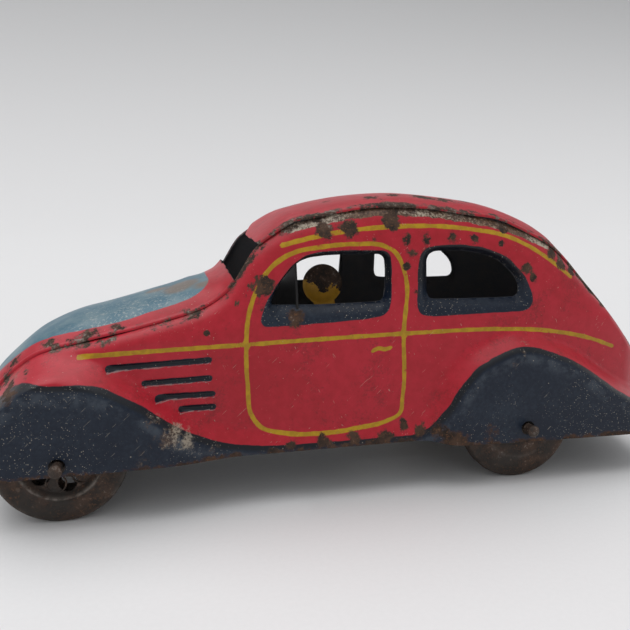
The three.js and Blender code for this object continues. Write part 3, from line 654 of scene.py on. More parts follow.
def make_rust_group():
    """Oxidised tinplate, from dark brown film to orange pits and a little grey metal."""
    tree, given = new_group("rusted_tin", {
        "Place": ("vector", (0, 0, 0)), "Bright": ("float", 0.3)},
        {"Colour": "colour", "Roughness": "float", "Height": "float"})
    broad = noise(tree, given["Place"], 260.0, 5.0, 0.6, 3.0)
    fine = noise(tree, given["Place"], 1700.0, 4.0, 0.7, 7.0)
    brown = blend(tree, rise(tree, broad, 0.38, 0.62), (0.020, 0.014, 0.011, 1), (0.070, 0.038, 0.024, 1))
    pitted = blend(tree, rise(tree, fine, 0.52, 0.68), brown, (0.13, 0.058, 0.026, 1))
    level = plus(tree, times(tree, fine, 0.5), times(tree, broad, 0.5))
    shine = rise(tree, plus(tree, level, times(tree, given["Bright"], 0.3)), 0.60, 0.72)
    colour = blend(tree, shine, pitted, (0.20, 0.17, 0.145, 1))
    rough = minus(tree, 0.82, times(tree, shine, 0.35))
    height = plus(tree, times(tree, broad, 0.6), times(tree, fine, 0.4))
    return close_group(tree, Colour=colour, Roughness=rough, Height=height)


def make_specks_group():
    """Small separate spots. Share is the part of the cells that hold one."""
    tree, given = new_group("specks", {
        "Place": ("vector", (0, 0, 0)), "Scale": ("float", 900.0), "Share": ("float", 0.1),
        "Size": ("float", 0.3)}, {"Mask": "float"})
    cells = put(tree, "ShaderNodeTexVoronoi", {"Vector": given["Place"], "Scale": given["Scale"]})
    chance = put(tree, "ShaderNodeSeparateColor", {"Color": cells.outputs["Color"]}).outputs[0]
    chosen = calc(tree, "LESS_THAN", chance, given["Share"])
    reach = times(tree, given["Size"], plus(tree, 0.5, calc(tree, "DIVIDE", chance, given["Share"])))
    close = fall(tree, calc(tree, "DIVIDE", cells.outputs["Distance"], reach), 0.6, 1.0)
    return close_group(tree, Mask=times(tree, chosen, close))


def make_scratch_group():
    """Thin broken hairlines in two directions."""
    tree, given = new_group("hairlines", {
        "Place": ("vector", (0, 0, 0)), "Amount": ("float", 0.3)}, {"Mask": "float"})
    total = None
    for number, (turn, squeeze) in enumerate([((0.3, 1.1, 0.1), (120.0, 3600.0, 3600.0)),
                                              ((-0.4, -0.7, 0.3), (160.0, 4200.0, 4200.0))]):
        turned = put(tree, "ShaderNodeMapping", {"Vector": given["Place"], "Rotation": turn}).outputs[0]
        mapped = put(tree, "ShaderNodeMapping", {"Vector": turned, "Scale": squeeze}).outputs[0]
        streak = noise(tree, mapped, 1.0, 1.0, 0.5, 11.0 + number)
        broken = noise(tree, given["Place"], 160.0, 4.0, 0.6, 17.0 + number)
        line = times(tree, rise(tree, streak, 0.70, 0.74), rise(tree, broken, 0.5, 0.6))
        total = line if total is None else larger(tree, total, line)
    return close_group(tree, Mask=times(tree, total, given["Amount"]))


CHIPS = make_chips_group()
RUST = make_rust_group()
SPECKS = make_specks_group()
SCRATCHES = make_scratch_group()

RED = (0.44, 0.014, 0.029, 1)
RED_DEEP = (0.35, 0.009, 0.018, 1)
NAVY = (0.0035, 0.0085, 0.021, 1)
NAVY_DUSTY = (0.014, 0.023, 0.039, 1)
YELLOW = (0.44, 0.26, 0.008, 1)
YELLOW_DIRTY = (0.36, 0.20, 0.008, 1)
CREAM = (0.45, 0.40, 0.33, 1)


def attribute(tree, name):
    return put(tree, "ShaderNodeAttribute", attribute_name=name).outputs["Fac"]


def printed_red(tree, place):
    tone = noise(tree, place, 30.0, 4.0, 0.55, 1.0)
    fine = noise(tree, place, 420.0, 3.0, 0.6, 2.0)
    level = plus(tree, times(tree, tone, 0.55), times(tree, fine, 0.45))
    red = blend(tree, rise(tree, level, 0.36, 0.62), RED_DEEP, RED)
    grime = plus(tree, times(tree, noise(tree, place, 110.0, 5.0, 0.7, 2.5), 0.6),
                 times(tree, noise(tree, place, 1700.0, 3.0, 0.7, 2.7), 0.4))
    return tint(tree, rise(tree, grime, 0.52, 0.64), 0.55, red, (0.14, 0.012, 0.013, 1))


def printed_navy(tree, place):
    tone = noise(tree, place, 55.0, 5.0, 0.65, 4.0)
    fine = noise(tree, place, 900.0, 4.0, 0.7, 5.0)
    level = plus(tree, times(tree, tone, 0.5), times(tree, fine, 0.5))
    return blend(tree, rise(tree, level, 0.42, 0.66), NAVY, NAVY_DUSTY)


def worn_paint(tree, place, colour, wear, speck_share, bright):
    """Flakes, specks and scratches over printed colours, and the dull unprinted inside."""
    back = attribute(tree, "back")
    chips = use_group(tree, CHIPS, Place=place, Wear=wear, Grain=330.0, Seed=1.5)
    rust = use_group(tree, RUST, Place=place, Bright=bright)
    crowd = rise(tree, noise(tree, place, 60.0, 3.0, 0.6, 14.0), 0.42, 0.62)
    some = use_group(tree, SPECKS, Place=place, Scale=2700.0, Share=speck_share, Size=0.27)
    few = use_group(tree, SPECKS, Place=place, Scale=1300.0, Share=times(tree, speck_share, 0.12),
                    Size=0.17)
    lines = use_group(tree, SCRATCHES, Place=place, Amount=0.5)
    pale = larger(tree, times(tree, some["Mask"], crowd), few["Mask"])
    pale = larger(tree, times(tree, pale, 0.62), lines["Mask"])
    colour = blend(tree, pale, colour, CREAM)
    rim = tint(tree, chips["Rim"], 0.45, colour, (0.05, 0.02, 0.018, 1))
    colour = blend(tree, chips["Mask"], rim, rust["Colour"])
    bare = larger(tree, chips["Mask"], back)
    inside = blend(tree, 0.6, rust["Colour"], (0.19, 0.20, 0.22, 1))
    colour = blend(tree, back, colour, inside)
    gloss = noise(tree, place, 140.0, 5.0, 0.6, 9.0)
    rough = plus(tree, 0.24, times(tree, gloss, 0.28))
    rough = put(tree, "ShaderNodeMix", {0: bare, 2: rough, 3: rust["Roughness"]}).outputs[0]
    step = minus(tree, 1.0, chips["Mask"])
    dents = noise(tree, place, 28.0, 2.0, 0.5, 12.0)
    height = plus(tree, times(tree, step, 0.035), times(tree, rust["Height"], times(tree, bare, 0.06)))
    height = plus(tree, height, times(tree, dents, 0.25))
    surface(tree, Base_Color=colour, Roughness=rough, Normal=bumped(tree, height, 0.001), Metallic=0.0,
            Specular_IOR_Level=0.3)


def rubbed_band(tree, place):
    """Where handling has rubbed the paint off the shoulder under the roof."""
    ragged = minus(tree, noise(tree, place, 300.0, 5.0, 0.65, 25.0), 0.5)
    level = plus(tree, attribute(tree, "band"), times(tree, ragged, 1.5))
    return rise(tree, level, 0.50, 0.64)


def band_colour(tree, place):
    """Brown undercoat with the pale primer and bare tin showing through."""
    broad = noise(tree, place, 75.0, 3.0, 0.5, 27.0)
    fine = noise(tree, place, 1500.0, 4.0, 0.75, 29.0)
    level = plus(tree, times(tree, broad, 0.6), times(tree, fine, 0.55))
    brown = blend(tree, rise(tree, fine, 0.4, 0.6), (0.055, 0.030, 0.018, 1), (0.17, 0.095, 0.055, 1))
    return blend(tree, rise(tree, level, 0.56, 0.66), brown, (0.40, 0.34, 0.26, 1))


def side_material(seed):
    """Red side with navy wings, window edges and louvres, and yellow coach lines."""
    material, tree, on_car = new_material("printed_side_%d" % seed)
    shift = put(tree, "ShaderNodeMapping", {"Vector": on_car, "Location": (0.37 * seed, 0.0, 0.11 * seed)})
    place = shift.outputs[0]
    shift_edge = wobble(tree, place)
    wing = attribute(tree, "wing")
    frame_edge = attribute(tree, "frame")
    louvre = attribute(tree, "louvre")
    field = larger(tree, larger(tree, wing, frame_edge), plus(tree, louvre, 0.02))
    is_navy = rise(tree, plus(tree, field, shift_edge), -0.1, 0.1)
    navy = printed_navy(tree, place)
    shade = times(tree, rise(tree, wing, -0.2, 0.15), fall(tree, wing, 0.8, 1.6))
    navy = tint(tree, shade, 0.9, navy, (0.004, 0.005, 0.008, 1))
    height = put(tree, "ShaderNodeSeparateXYZ", {"Vector": on_car}).outputs["Z"]
    shaded_rim = times(tree, rise(tree, frame_edge, -0.2, 0.1), rise(tree, height, 0.049, 0.054))
    navy = tint(tree, shaded_rim, 0.8, navy, (0.006, 0.006, 0.008, 1))
    # Painted shade: the navy is darkened further inside the pressed louvre slots.
    slot_shade = rise(tree, louvre, -0.1, 0.35)
    navy = tint(tree, slot_shade, 0.7, navy, (0.003, 0.004, 0.006, 1))
    # Painted highlight and rubbed paint: a lighter band along the rounded shoulder just below the wings'
    # top edge, where the shoulder faces up.
    rubbed = times(tree, rise(tree, wing, 1.4, 2.2), fall(tree, wing, 3.0, 5.5))
    patchy = rise(tree, noise(tree, place, 220.0, 5.0, 0.7, 21.0), 0.42, 0.62)
    navy = tint(tree, rubbed, times(tree, patchy, 0.32), navy, (0.10, 0.12, 0.145, 1))
    colour = blend(tree, is_navy, printed_red(tree, place), navy)
    coach = plus(tree, attribute(tree, "coach"), shift_edge)
    worn_line = rise(tree, noise(tree, place, 300.0, 5.0, 0.7, 31.0), 0.60, 0.68)
    yellow = blend(tree, rise(tree, noise(tree, place, 500.0, 3.0, 0.6, 33.0), 0.4, 0.6), YELLOW_DIRTY,
                   YELLOW)
    on_line = times(tree, fall(tree, coach, 0.44, 0.60), minus(tree, 1.0, times(tree, worn_line, 0.7)))
    on_line = times(tree, on_line, minus(tree, 1.0, is_navy))
    colour = blend(tree, on_line, colour, yellow)
    pale = attribute(tree, "pale")
    mottle = plus(tree, times(tree, noise(tree, place, 260.0, 5.0, 0.7, 8.0), 0.9),
                  times(tree, noise(tree, place, 1300.0, 3.0, 0.7, 8.5), 0.5))
    pale_mask = rise(tree, plus(tree, times(tree, pale, 0.42), mottle), 0.86, 1.06)
    pale_mask = times(tree, pale_mask, rise(tree, pale, 0.05, 0.35))
    colour = tint(tree, pale_mask, 0.7, colour, band_colour(tree, place))
    # Random scuffs, and a painted highlight along the lower lip of each louvre.
    scuff_and_lip_highlight = plus(tree, times(tree, attribute(tree, "lip"), 0.55),
                 times(tree, noise(tree, place, 600.0, 4.0, 0.65, 23.0), 0.7))
    colour = tint(tree, rise(tree, scuff_and_lip_highlight, 0.74, 0.9), 0.75, colour, (0.26, 0.20, 0.19, 1))
    seam = attribute(tree, "seam")
    hem = attribute(tree, "hem")
    colour = blend(tree, rubbed_band(tree, place), colour, band_colour(tree, place))
    edge = fall(tree, seam, 0.6, 4.5)
    low = fall(tree, hem, 0.2, 2.6)
    ring_edge = fall(tree, calc(tree, "ABSOLUTE", frame_edge), 0.2, 1.4)
    wear = worn_by(tree, attribute(tree, "wear"), ((edge, 0.52), (low, 0.56), (ring_edge, 0.30)))
    wear = larger(tree, wear, 0.10)
    share = plus(tree, 0.02, times(tree, is_navy, 0.30))
    bright = plus(tree, 0.05, times(tree, edge, 0.25))
    worn_paint(tree, place, colour, wear, share, bright)
    return material


def make_side(name, left, wear, material):
    u = np.linspace(0, 1, SIDE_COLUMNS)[:, None]
    v = np.linspace(0, 1, SIDE_ROWS)[None, :]
    x = END_X * (0.86 * (1 - 2 * u) + 0.14 * np.cos(math.pi * u)) + 0 * v
    low, top = lower_edge(x), seam_height(x) - TUCK
    z = low + (top - low) * v
    outer = np.stack([x, pressed_side(x, z), z], -1)
    mesh = sheet_mesh(name, outer, SIDE_TIN)
    cutters = [prism(outline, CUT_FROM, CUT_TO) for outline in (FRONT_WINDOW, REAR_WINDOW)]
    cutters += [prism(ring(axle, WHEEL_RADIUS, AXLE_HOLE_RADIUS, 32), HOLE_FROM, CUT_TO)
                for axle in (FRONT_AXLE_X, REAR_AXLE_X)]
    mesh = cut_away(face_out(mesh), cutters)
    paint_fields(mesh, wear)
    if not left:
        mesh.transform(Matrix.Scale(-1, 4, (0, 1, 0)))
    finish_mesh(mesh, 50)
    add_piece(name, mesh, material, "body", "red_tinplate",
              "left_side_pressing" if left else "right_side_pressing")


make_side("printed_left_side", True, LEFT_WEAR, side_material(0))
make_side("printed_right_side", False, RIGHT_WEAR, side_material(1))


# ---- Bonnet and roof strips -----------------------------------------------------
# Two long strips of tinplate close the body from nose to cowl and from windscreen to tail.
# They are crowned across, lapped over the tops of the sides and crimped there. The bonnet
# has a light blue panel printed on it and upright ribs pressed into the nose.

STRIP_TIN = 0.3
STRIP_EDGE = 0.25           # height of the lapped edge above the seam
LAP_OUT = 0.75
LAP_DOWN = 0.75
CROWN_EXTRA = 0.55          # more crown where there is some already
COWL_X = 28.5
ROOF_FRONT_X = 22.5
RIB_PITCH = 1.9
RIB_HEIGHT = 0.55
RIB_BAND = 7.6              # half width of the ribbed part of the nose
BLUE = (0.055, 0.135, 0.185, 1)
BLUE_PALE = (0.115, 0.19, 0.225, 1)


def seam_line():
    """Side view of the seam: up the nose, over the roof and down the tail."""
    climb = np.linspace(0, 1, 13)
    u = np.linspace(0, 1, 481)
    x = END_X * (0.72 * (1 - 2 * u) + 0.28 * np.cos(math.pi * u))
    low, top = lower_edge(END_X), seam_height(END_X)
    nose = [(END_X, low + (top - low) * t) for t in climb[:-1]]
    low, top = lower_edge(-END_X), seam_height(-END_X)
    tail = [(-END_X, top + (low - top) * t) for t in climb[1:]]
    return np.vstack([nose, np.stack([x, seam_height(x)], -1), tail])


SEAM = seam_line()
SEAM_RUN = np.concatenate([[0], np.cumsum(np.hypot(*np.diff(SEAM, axis=0).T))])


def seam_at(run):
    return np.interp(run, SEAM_RUN, SEAM[:, 0]), np.interp(run, SEAM_RUN, SEAM[:, 1])


def run_at(x):
    """Distance along the seam, from the bottom of the nose, of the place at this X."""
    return np.interp(-x, -SEAM[:, 0] + 1e-6 * np.arange(len(SEAM)), SEAM_RUN)


def nose_run(z):
    """Distance along the seam of a height on the nose."""
    count = int(np.argmax(SEAM[:, 1]))
    return np.interp(z, SEAM[:count, 1], SEAM_RUN[:count])


RIB_LOW, RIB_HIGH = nose_run(14.5), nose_run(22.5)
BLUE_PANEL = rounded([(run_at(32.4), -15.3, 9), (run_at(32.4), 15.3, 9), (run_at(60), 15.4, 8),
                      (nose_run(27), 9, 5), (nose_run(27), -9, 5), (run_at(60), -15.4, 8)], 8)


def strip_places(run, w):
    """Outer face of a strip; w runs across it from -1 to 1 and on into the laps."""
    x, z = seam_at(run)
    reach = 2.0
    ahead_x, ahead_z = seam_at(np.clip(run - reach, 0, SEAM_RUN[-1]))
    behind_x, behind_z = seam_at(np.clip(run + reach, 0, SEAM_RUN[-1]))
    length = np.hypot(behind_x - ahead_x, behind_z - ahead_z)
    out_x, out_z = (behind_z - ahead_z) / length, (ahead_x - behind_x) / length
    across = np.clip(np.abs(w), 0, 1)
    lap = np.clip(np.abs(w) - 1, 0, 1) * math.pi / 2
    profile = 0.55 * (1 - across ** 2) + 0.45 * (1 - across ** 6)
    swell = crown(x) + CROWN_EXTRA * smooth_step(0.4, 1.4, crown(x))
    height = STRIP_EDGE + swell * profile - LAP_DOWN * (1 - np.cos(lap))
    y = np.sign(w) * (across * seam_half_width(x) + LAP_OUT * np.sin(lap))
    ribs = smooth_step(RIB_LOW - 0.8, RIB_LOW + 0.8, run) * smooth_step(RIB_HIGH + 0.8,
                                                                       RIB_HIGH - 0.8, run)
    ribs = ribs * smooth_step(RIB_BAND + 0.4, RIB_BAND - 0.4, np.abs(y))
    ribs = ribs * (0.5 - 0.5 * np.cos(2 * math.pi * y / RIB_PITCH))
    height = height - RIB_HEIGHT * ribs
    return np.stack([x + out_x * height, y, z + out_z * height], -1), ribs


def sprung_edge(run, w, places):
    """The lap has sprung open in a few places, on the left side."""
    lift = np.zeros(run.shape)
    for x, length, amount in ((-38, 6, 0.45), (15, 4, 0.4), (59, 5, 0.3), (-20, 4, 0.15)):
        lift += amount * np.exp(-((run - run_at(x)) / length) ** 2)
    places[..., 2] += lift * smooth_step(0.8, 1.0, w)


def strip_mesh(name, front, rear, wear, columns, rows):
    """front and rear give, for each w, where along the seam the strip starts and ends."""
    w = np.linspace(1, -1, rows)
    fold = 1 + np.linspace(1, 0, 7)[:-1]
    w = np.concatenate([fold, w, -fold[::-1]])[None, :]
    u = np.linspace(0, 1, columns)[:, None]
    run = front(w) + (rear(w) - front(w)) * u
    places, ribs = strip_places(run, w + 0 * u)
    sprung_edge(run, w, places)
    x, y = places[..., 0], places[..., 1]
    fields = {
        "edge": (1 - np.abs(w + 0 * u)) * seam_half_width(x),
        "panel": inside_of(BLUE_PANEL, run, y),
        "ribs": ribs,
        "wear": blobs(wear, x, y),
        "end": np.minimum(run - front(w), rear(w) - run),
    }
    mesh = sheet_mesh(name, places, STRIP_TIN, fields.items())
    finish_mesh(mesh, 50)
    return mesh


def strip_material(name, with_panel):
    material, tree, place = new_material(name)
    colour = printed_red(tree, place)
    wear = attribute(tree, "wear")
    shift_edge = wobble(tree, place)
    share = 0.03
    if with_panel:
        inside = rise(tree, plus(tree, attribute(tree, "panel"), shift_edge), -0.1, 0.1)
        tone = rise(tree, noise(tree, place, 130.0, 6.0, 0.65, 41.0), 0.42, 0.6)
        blue = blend(tree, tone, BLUE, BLUE_PALE)
        rubbed = rise(tree, plus(tree, times(tree, wear, 0.7),
                                 times(tree, noise(tree, place, 190.0, 5.0, 0.6, 43.0), 0.6)), 0.55, 0.78)
        blue = tint(tree, rubbed, 0.95, blue, (0.165, 0.135, 0.115, 1))
        silver = rise(tree, noise(tree, place, 1300.0, 4.0, 0.75, 45.0), 0.52, 0.62)
        band = rise(tree, noise(tree, place, 45.0, 3.0, 0.5, 47.0), 0.46, 0.60)
        blue = tint(tree, times(tree, silver, band), 0.8, blue, (0.33, 0.35, 0.34, 1))
        colour = blend(tree, inside, colour, blue)
        rib_paint = rise(tree, attribute(tree, "ribs"), 0.40, 0.55)
        colour = blend(tree, rib_paint, colour, printed_navy(tree, place))
        wear = times(tree, wear, minus(tree, 1.0, times(tree, inside, 0.6)))
        share = plus(tree, 0.03, times(tree, inside, 0.10))
    edge = fall(tree, attribute(tree, "edge"), 0.0, 2.6)
    end = fall(tree, attribute(tree, "end"), 0.0, 1.3)
    wear = worn_by(tree, wear, ((edge, 0.42 if with_panel else 0.56), (end, 0.45)))
    wear = larger(tree, wear, 0.08)
    worn_paint(tree, place, colour, wear, share, plus(tree, 0.05, times(tree, edge, 0.3)))
    return material


def cowl_edge(w):
    """The worn rear edge of the bonnet."""
    w = np.clip(w, -1, 1)
    ragged = 0.2 * np.sin(9.1 * w + 0.4) + 0.1 * np.sin(23 * w + 1.0)
    return run_at(COWL_X) + ragged - 0.9 * smooth_step(0.5, 0.9, w)


def roof_edge(w):
    """The front edge of the roof, cut back towards the right side."""
    cut_back = smooth_step(0.2, -1.15, np.clip(w, -1, 1)) ** 1.3
    return run_at(ROOF_FRONT_X) - 1.0 + 5.2 * cut_back + 0.1 * np.sin(13 * w)


BONNET_WEAR = [(41, 6, 6, 0.9), (47, 2, 5, 0.7), (36, 10, 4, 0.7), (62, 16, 3, 0.6), (57, 17, 3, 0.6),
               (72, 15, 4, 0.6), (80, 13, 4, 0.6), (64, -15, 4, 0.6), (45, -12, 5, 0.5), (76, -4, 5, 0.4)]
ROOF_WEAR = [(-13, 10, 5, 0.66), (-20, 11, 5.5, 0.72), (-27, 11, 5, 0.70), (-6, 13, 4, 0.62),
             (4, 8, 2.5, 0.5), (-33, 8, 3, 0.5), (-60, -6, 6, 0.55), (-46, 2, 3, 0.45), (10, -9, 6, 0.55),
             (-30, -13, 7, 0.6), (-72, 4, 5, 0.6), (-82, -7, 5, 0.6), (-4, -3, 3, 0.35)]

bonnet = strip_mesh("printed_bonnet", lambda w: 0 * w, cowl_edge, BONNET_WEAR, columns=190, rows=120)
add_piece("printed_bonnet", bonnet, strip_material("printed_bonnet_paint", True), "body",
          "red_tinplate", "bonnet_strip")
roof = strip_mesh("printed_roof", roof_edge, lambda w: SEAM_RUN[-1] + 0 * w, ROOF_WEAR,
                  columns=260, rows=64)
add_piece("printed_roof", roof, strip_material("printed_roof_paint", False), "body",
          "red_tinplate", "roof_strip")


# ---- Floor plate and dash panel -------------------------------------------------
# Plain black-lacquered tinplate, bent and tabbed. The floor is let into the sides, with a
# flat pan between the axles, and the dash panel stands across the body behind the cowl.

def lacquer_material():
    material, tree, place = new_material("dark_lacquered_tin")
    chips = use_group(tree, CHIPS, Place=place, Wear=0.3, Grain=260.0, Seed=5.0)
    rust = use_group(tree, RUST, Place=place, Bright=0.1)
    lacquer = blend(tree, noise(tree, place, 90.0, 4.0, 0.6, 51.0), (0.008, 0.008, 0.009, 1),
                    (0.022, 0.021, 0.021, 1))
    colour = blend(tree, chips["Mask"], lacquer, rust["Colour"])
    rough = put(tree, "ShaderNodeMix", {0: chips["Mask"], 2: 0.42, 3: rust["Roughness"]}).outputs[0]
    height = times(tree, rust["Height"], chips["Mask"])
    surface(tree, Base_Color=colour, Roughness=rough, Normal=bumped(tree, height, 0.0001),
            Specular_IOR_Level=0.2)
    return material


def refinish(nodes, material):
    """A better material on a CAD node whose shape is right."""
    for name in nodes:
        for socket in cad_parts[name].material_slots:
            socket.material = material


refinish(["floor_plate", "dash_panel"], lacquer_material())


# ---- Driver ----------------------------------------------------------------------
# One flat stamping of tinplate, a round head on a neck and shoulders, tabbed into the floor.
# It was painted ochre, and rust has taken the top and the back of the head.

driver_low, driver_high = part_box("driver_figure")
DRIVER_X = (driver_low.x + driver_high.x) / 2 / MM
DRIVER_Y = (driver_low.y + driver_high.y) / 2 / MM
HEAD_RADIUS = 5.2
HEAD_Z = driver_high.z / MM - HEAD_RADIUS
DRIVER_FOOT = driver_low.z / MM
DRIVER_TIN = 0.6
FACE_SWELL = 0.7
DRIVER_OCHRE = (0.85, 0.44, 0.030, 1)


def driver_edges(z):
    """Front and back X of the figure at a height."""
    on_head = np.sqrt(np.clip(HEAD_RADIUS ** 2 - (z - HEAD_Z) ** 2, 0.02, None))
    chin = HEAD_Z - 0.80 * HEAD_RADIUS
    front = curve_through([(DRIVER_FOOT, 2.5), (chin - 14, 3), (chin - 6, 4.5), (chin - 2, 1.9),
                           (chin, 2.6)])
    back = curve_through([(DRIVER_FOOT, 2.5), (chin - 14, 4.5), (chin - 6, 5), (chin - 1.5, 3.4),
                          (chin, 3.1)])
    return (np.where(z > chin, on_head, front(z)), np.where(z > chin, on_head, back(z)))


def driver_material():
    material, tree, place = new_material("painted_driver")
    split = put(tree, "ShaderNodeSeparateXYZ", {"Vector": place}).outputs
    along = calc(tree, "DIVIDE", minus(tree, split[0], DRIVER_X * MM), HEAD_RADIUS * MM)
    up = calc(tree, "DIVIDE", minus(tree, split[2], HEAD_Z * MM), HEAD_RADIUS * MM)
    ragged = minus(tree, noise(tree, place, 260.0, 4.0, 0.6, 61.0), 0.5)
    level = plus(tree, times(tree, up, -0.9), times(tree, along, 0.35))
    level = plus(tree, level, times(tree, ragged, 2.4))
    kept = rise(tree, level, 0.05, 0.13)
    rust = use_group(tree, RUST, Place=place, Bright=0.2)
    tone = noise(tree, place, 500.0, 4.0, 0.6, 63.0)
    ochre = blend(tree, tone, (0.42, 0.20, 0.015, 1), DRIVER_OCHRE)
    colour = blend(tree, kept, rust["Colour"], ochre)
    rough = put(tree, "ShaderNodeMix", {0: kept, 2: rust["Roughness"], 3: 0.5}).outputs[0]
    height = plus(tree, times(tree, kept, 0.5), rust["Height"])
    surface(tree, Base_Color=colour, Roughness=rough, Normal=bumped(tree, height, 0.00012))
    return material


def make_driver():
    turn = np.linspace(0, math.pi, 40)
    body_z = np.linspace(DRIVER_FOOT, HEAD_Z - 0.80 * HEAD_RADIUS, 40)[:-1]
    head_z = HEAD_Z - HEAD_RADIUS * np.cos(turn[turn > math.acos(0.80)])
    z = np.concatenate([body_z, np.minimum(head_z, HEAD_Z + HEAD_RADIUS - 0.002)])[:, None]
    s = np.linspace(-1, 1, 29)[None, :]
    front, back = driver_edges(z)
    x = DRIVER_X + np.where(s > 0, s * front, s * back)
    from_head = np.hypot(x - DRIVER_X, z - HEAD_Z) / HEAD_RADIUS
    swell = FACE_SWELL * np.clip(1 - from_head ** 2, 0, 1) + 0.35 * (1 - s ** 4) * (from_head > 1)
    swell = swell * smooth_step(0, 1, np.abs(from_head - 1) * 3)
    outer = np.stack([x, DRIVER_Y + DRIVER_TIN / 2 + swell, z + 0 * s], -1)
    mesh = sheet_mesh("stamped_driver", outer[:, ::-1], DRIVER_TIN)
    finish_mesh(mesh, 45)
    add_piece("stamped_driver", mesh, driver_material(), "body", "ochre_tin", "driver_figure")


make_driver()


# ---- Pull-back motor ---------------------------------------------------------------
# Two steel side plates held apart by pillars carry the arbors. Stamped brass gears lead
# from the rear axle to the toothed drum, which holds a coiled strip of blued spring steel.

def metal_material(name, dark, bright, rough_low, rough_high, turned_marks):
    material, tree, place = new_material(name)
    broad = noise(tree, place, 160.0, 4.0, 0.6, 71.0)
    fine = noise(tree, put(tree, "ShaderNodeMapping", {"Vector": place, "Scale": turned_marks}).outputs[0],
                 1.0, 3.0, 0.6, 73.0)
    colour = blend(tree, rise(tree, broad, 0.35, 0.65), dark, bright)
    spots = use_group(tree, SPECKS, Place=place, Scale=600.0, Share=0.12, Size=0.4)
    colour = tint(tree, spots["Mask"], 0.6, colour, (0.05, 0.03, 0.02, 1))
    rough = plus(tree, rough_low, times(tree, fine, rough_high - rough_low))
    surface(tree, Base_Color=colour, Roughness=rough, Metallic=1.0, Normal=bumped(tree, fine, 0.00003))
    return material


BRASS = metal_material("gear_brass", (0.33, 0.20, 0.07, 1), (0.62, 0.43, 0.17, 1), 0.28, 0.55,
                       (900.0, 900.0, 900.0))
PLATE_STEEL = metal_material("motor_plate_steel", (0.26, 0.25, 0.24, 1), (0.48, 0.47, 0.45, 1), 0.32,
                             0.6, (200.0, 2600.0, 2600.0))
refinish(["axle_pinion", "idler_gear", "idler_pinion", "spring_barrel"], BRASS)
refinish(["idler_arbor", "barrel_arbor", "motor_frame_left", "motor_frame_right", "frame_pillar_1",
          "frame_pillar_2", "frame_pillar_3"], PLATE_STEEL)

SPRING_TURNS = 8
SPRING_THICK = 0.25
ARBOR_PLAY = 0.6


def tree_with(name, inputs):
    """Geometry node tree with named number inputs; gives the tree and the inputs' sockets."""
    tree = bpy.data.node_groups.new(name, "GeometryNodeTree")
    tree.interface.new_socket("Geometry", in_out="INPUT", socket_type="NodeSocketGeometry")
    for key, value in inputs.items():
        kind = "NodeSocketMaterial" if key == "Material" else (
            "NodeSocketInt" if isinstance(value, int) else "NodeSocketFloat")
        tree.interface.new_socket(key, in_out="INPUT", socket_type=kind)
    tree.interface.new_socket("Geometry", in_out="OUTPUT", socket_type="NodeSocketGeometry")
    return tree, put(tree, "NodeGroupInput").outputs


def end_tree(tree, given, geometry):
    """Stands what lies about the Z axis up about the Y axis, at the tree's X, Y and Z."""
    place = put(tree, "ShaderNodeCombineXYZ", {0: given["X"], 1: given["Y"], 2: given["Z"]})
    geometry = put(tree, "GeometryNodeTransform",
                   {"Geometry": geometry, "Rotation": (math.pi / 2, 0, 0),
                    "Translation": place.outputs[0]}).outputs[0]
    whole = put(tree, "GeometryNodeRealizeInstances", {"Geometry": geometry}).outputs[0]
    made = put(tree, "GeometryNodeSetMaterial", {"Geometry": whole, "Material": given["Material"]})
    put(tree, "NodeGroupOutput", {"Geometry": made.outputs[0]})
    return tree


def grown_mesh(name, tree, inputs):
    """The plain mesh that a geometry node tree makes from its inputs."""
    seed = bpy.data.objects.new(name, bpy.data.meshes.new(name))
    bpy.context.scene.collection.objects.link(seed)
    modifier = seed.modifiers.new("grow", "NODES")
    modifier.node_group = tree
    for item in tree.interface.items_tree:
        if item.in_out == "INPUT" and item.name in inputs:
            modifier[item.identifier] = inputs[item.name]
    return made_mesh(seed)


def coil_tree():
    """A flat strip wound in a spiral about the Y axis."""
    names = {"Turns": 8.0, "Inside": 0.002, "Outside": 0.008, "Thickness": 0.0003, "Width": 0.006,
             "X": 0.0, "Y": 0.0, "Z": 0.0, "Material": None}
    tree, given = tree_with("wound_spring", names)
    spiral = put(tree, "GeometryNodeCurveSpiral",
                 {"Resolution": 48, "Rotations": given["Turns"], "Start Radius": given["Inside"],
                  "End Radius": given["Outside"], "Height": 0.0})
    section = put(tree, "GeometryNodeCurvePrimitiveQuadrilateral",
                  {"Width": given["Thickness"], "Height": given["Width"]})
    strip = put(tree, "GeometryNodeCurveToMesh",
                {"Curve": spiral.outputs[0], "Profile Curve": section.outputs[0], "Fill Caps": True})
    return end_tree(tree, given, strip.outputs[0])


def make_mainspring():
    low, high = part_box("mainspring")
    middle = (low + high) / 2
    blued = metal_material("blued_spring_steel", (0.06, 0.09, 0.16, 1), (0.16, 0.21, 0.30, 1), 0.22,
                           0.45, (300.0, 3000.0, 300.0))
    arbor_low, arbor_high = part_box("barrel_arbor")
    inside = (arbor_high.x - arbor_low.x) / 2 + ARBOR_PLAY * MM
    mesh = grown_mesh("coiled_mainspring", coil_tree(), {
        "Turns": float(SPRING_TURNS), "Inside": inside, "Outside": (high.z - low.z) / 2 - 0.0002,
        "Thickness": SPRING_THICK * MM, "Width": high.y - low.y, "X": (arbor_low.x + arbor_high.x) / 2,
        "Y": middle.y, "Z": (arbor_low.z + arbor_high.z) / 2, "Material": blued})
    finish_mesh(mesh, 35)
    add_piece("coiled_mainspring", mesh, blued, "barrel", "spring_steel", "mainspring")


make_mainspring()


# ---- Axles and wheels ----------------------------------------------------------------
# Each axle is a length of steel wire with its ends peened over. A wheel is two dished discs
# of tinplate folded together at the tread around a short tube hub. The front wheels are
# pierced between six spokes, inside a raised ring.

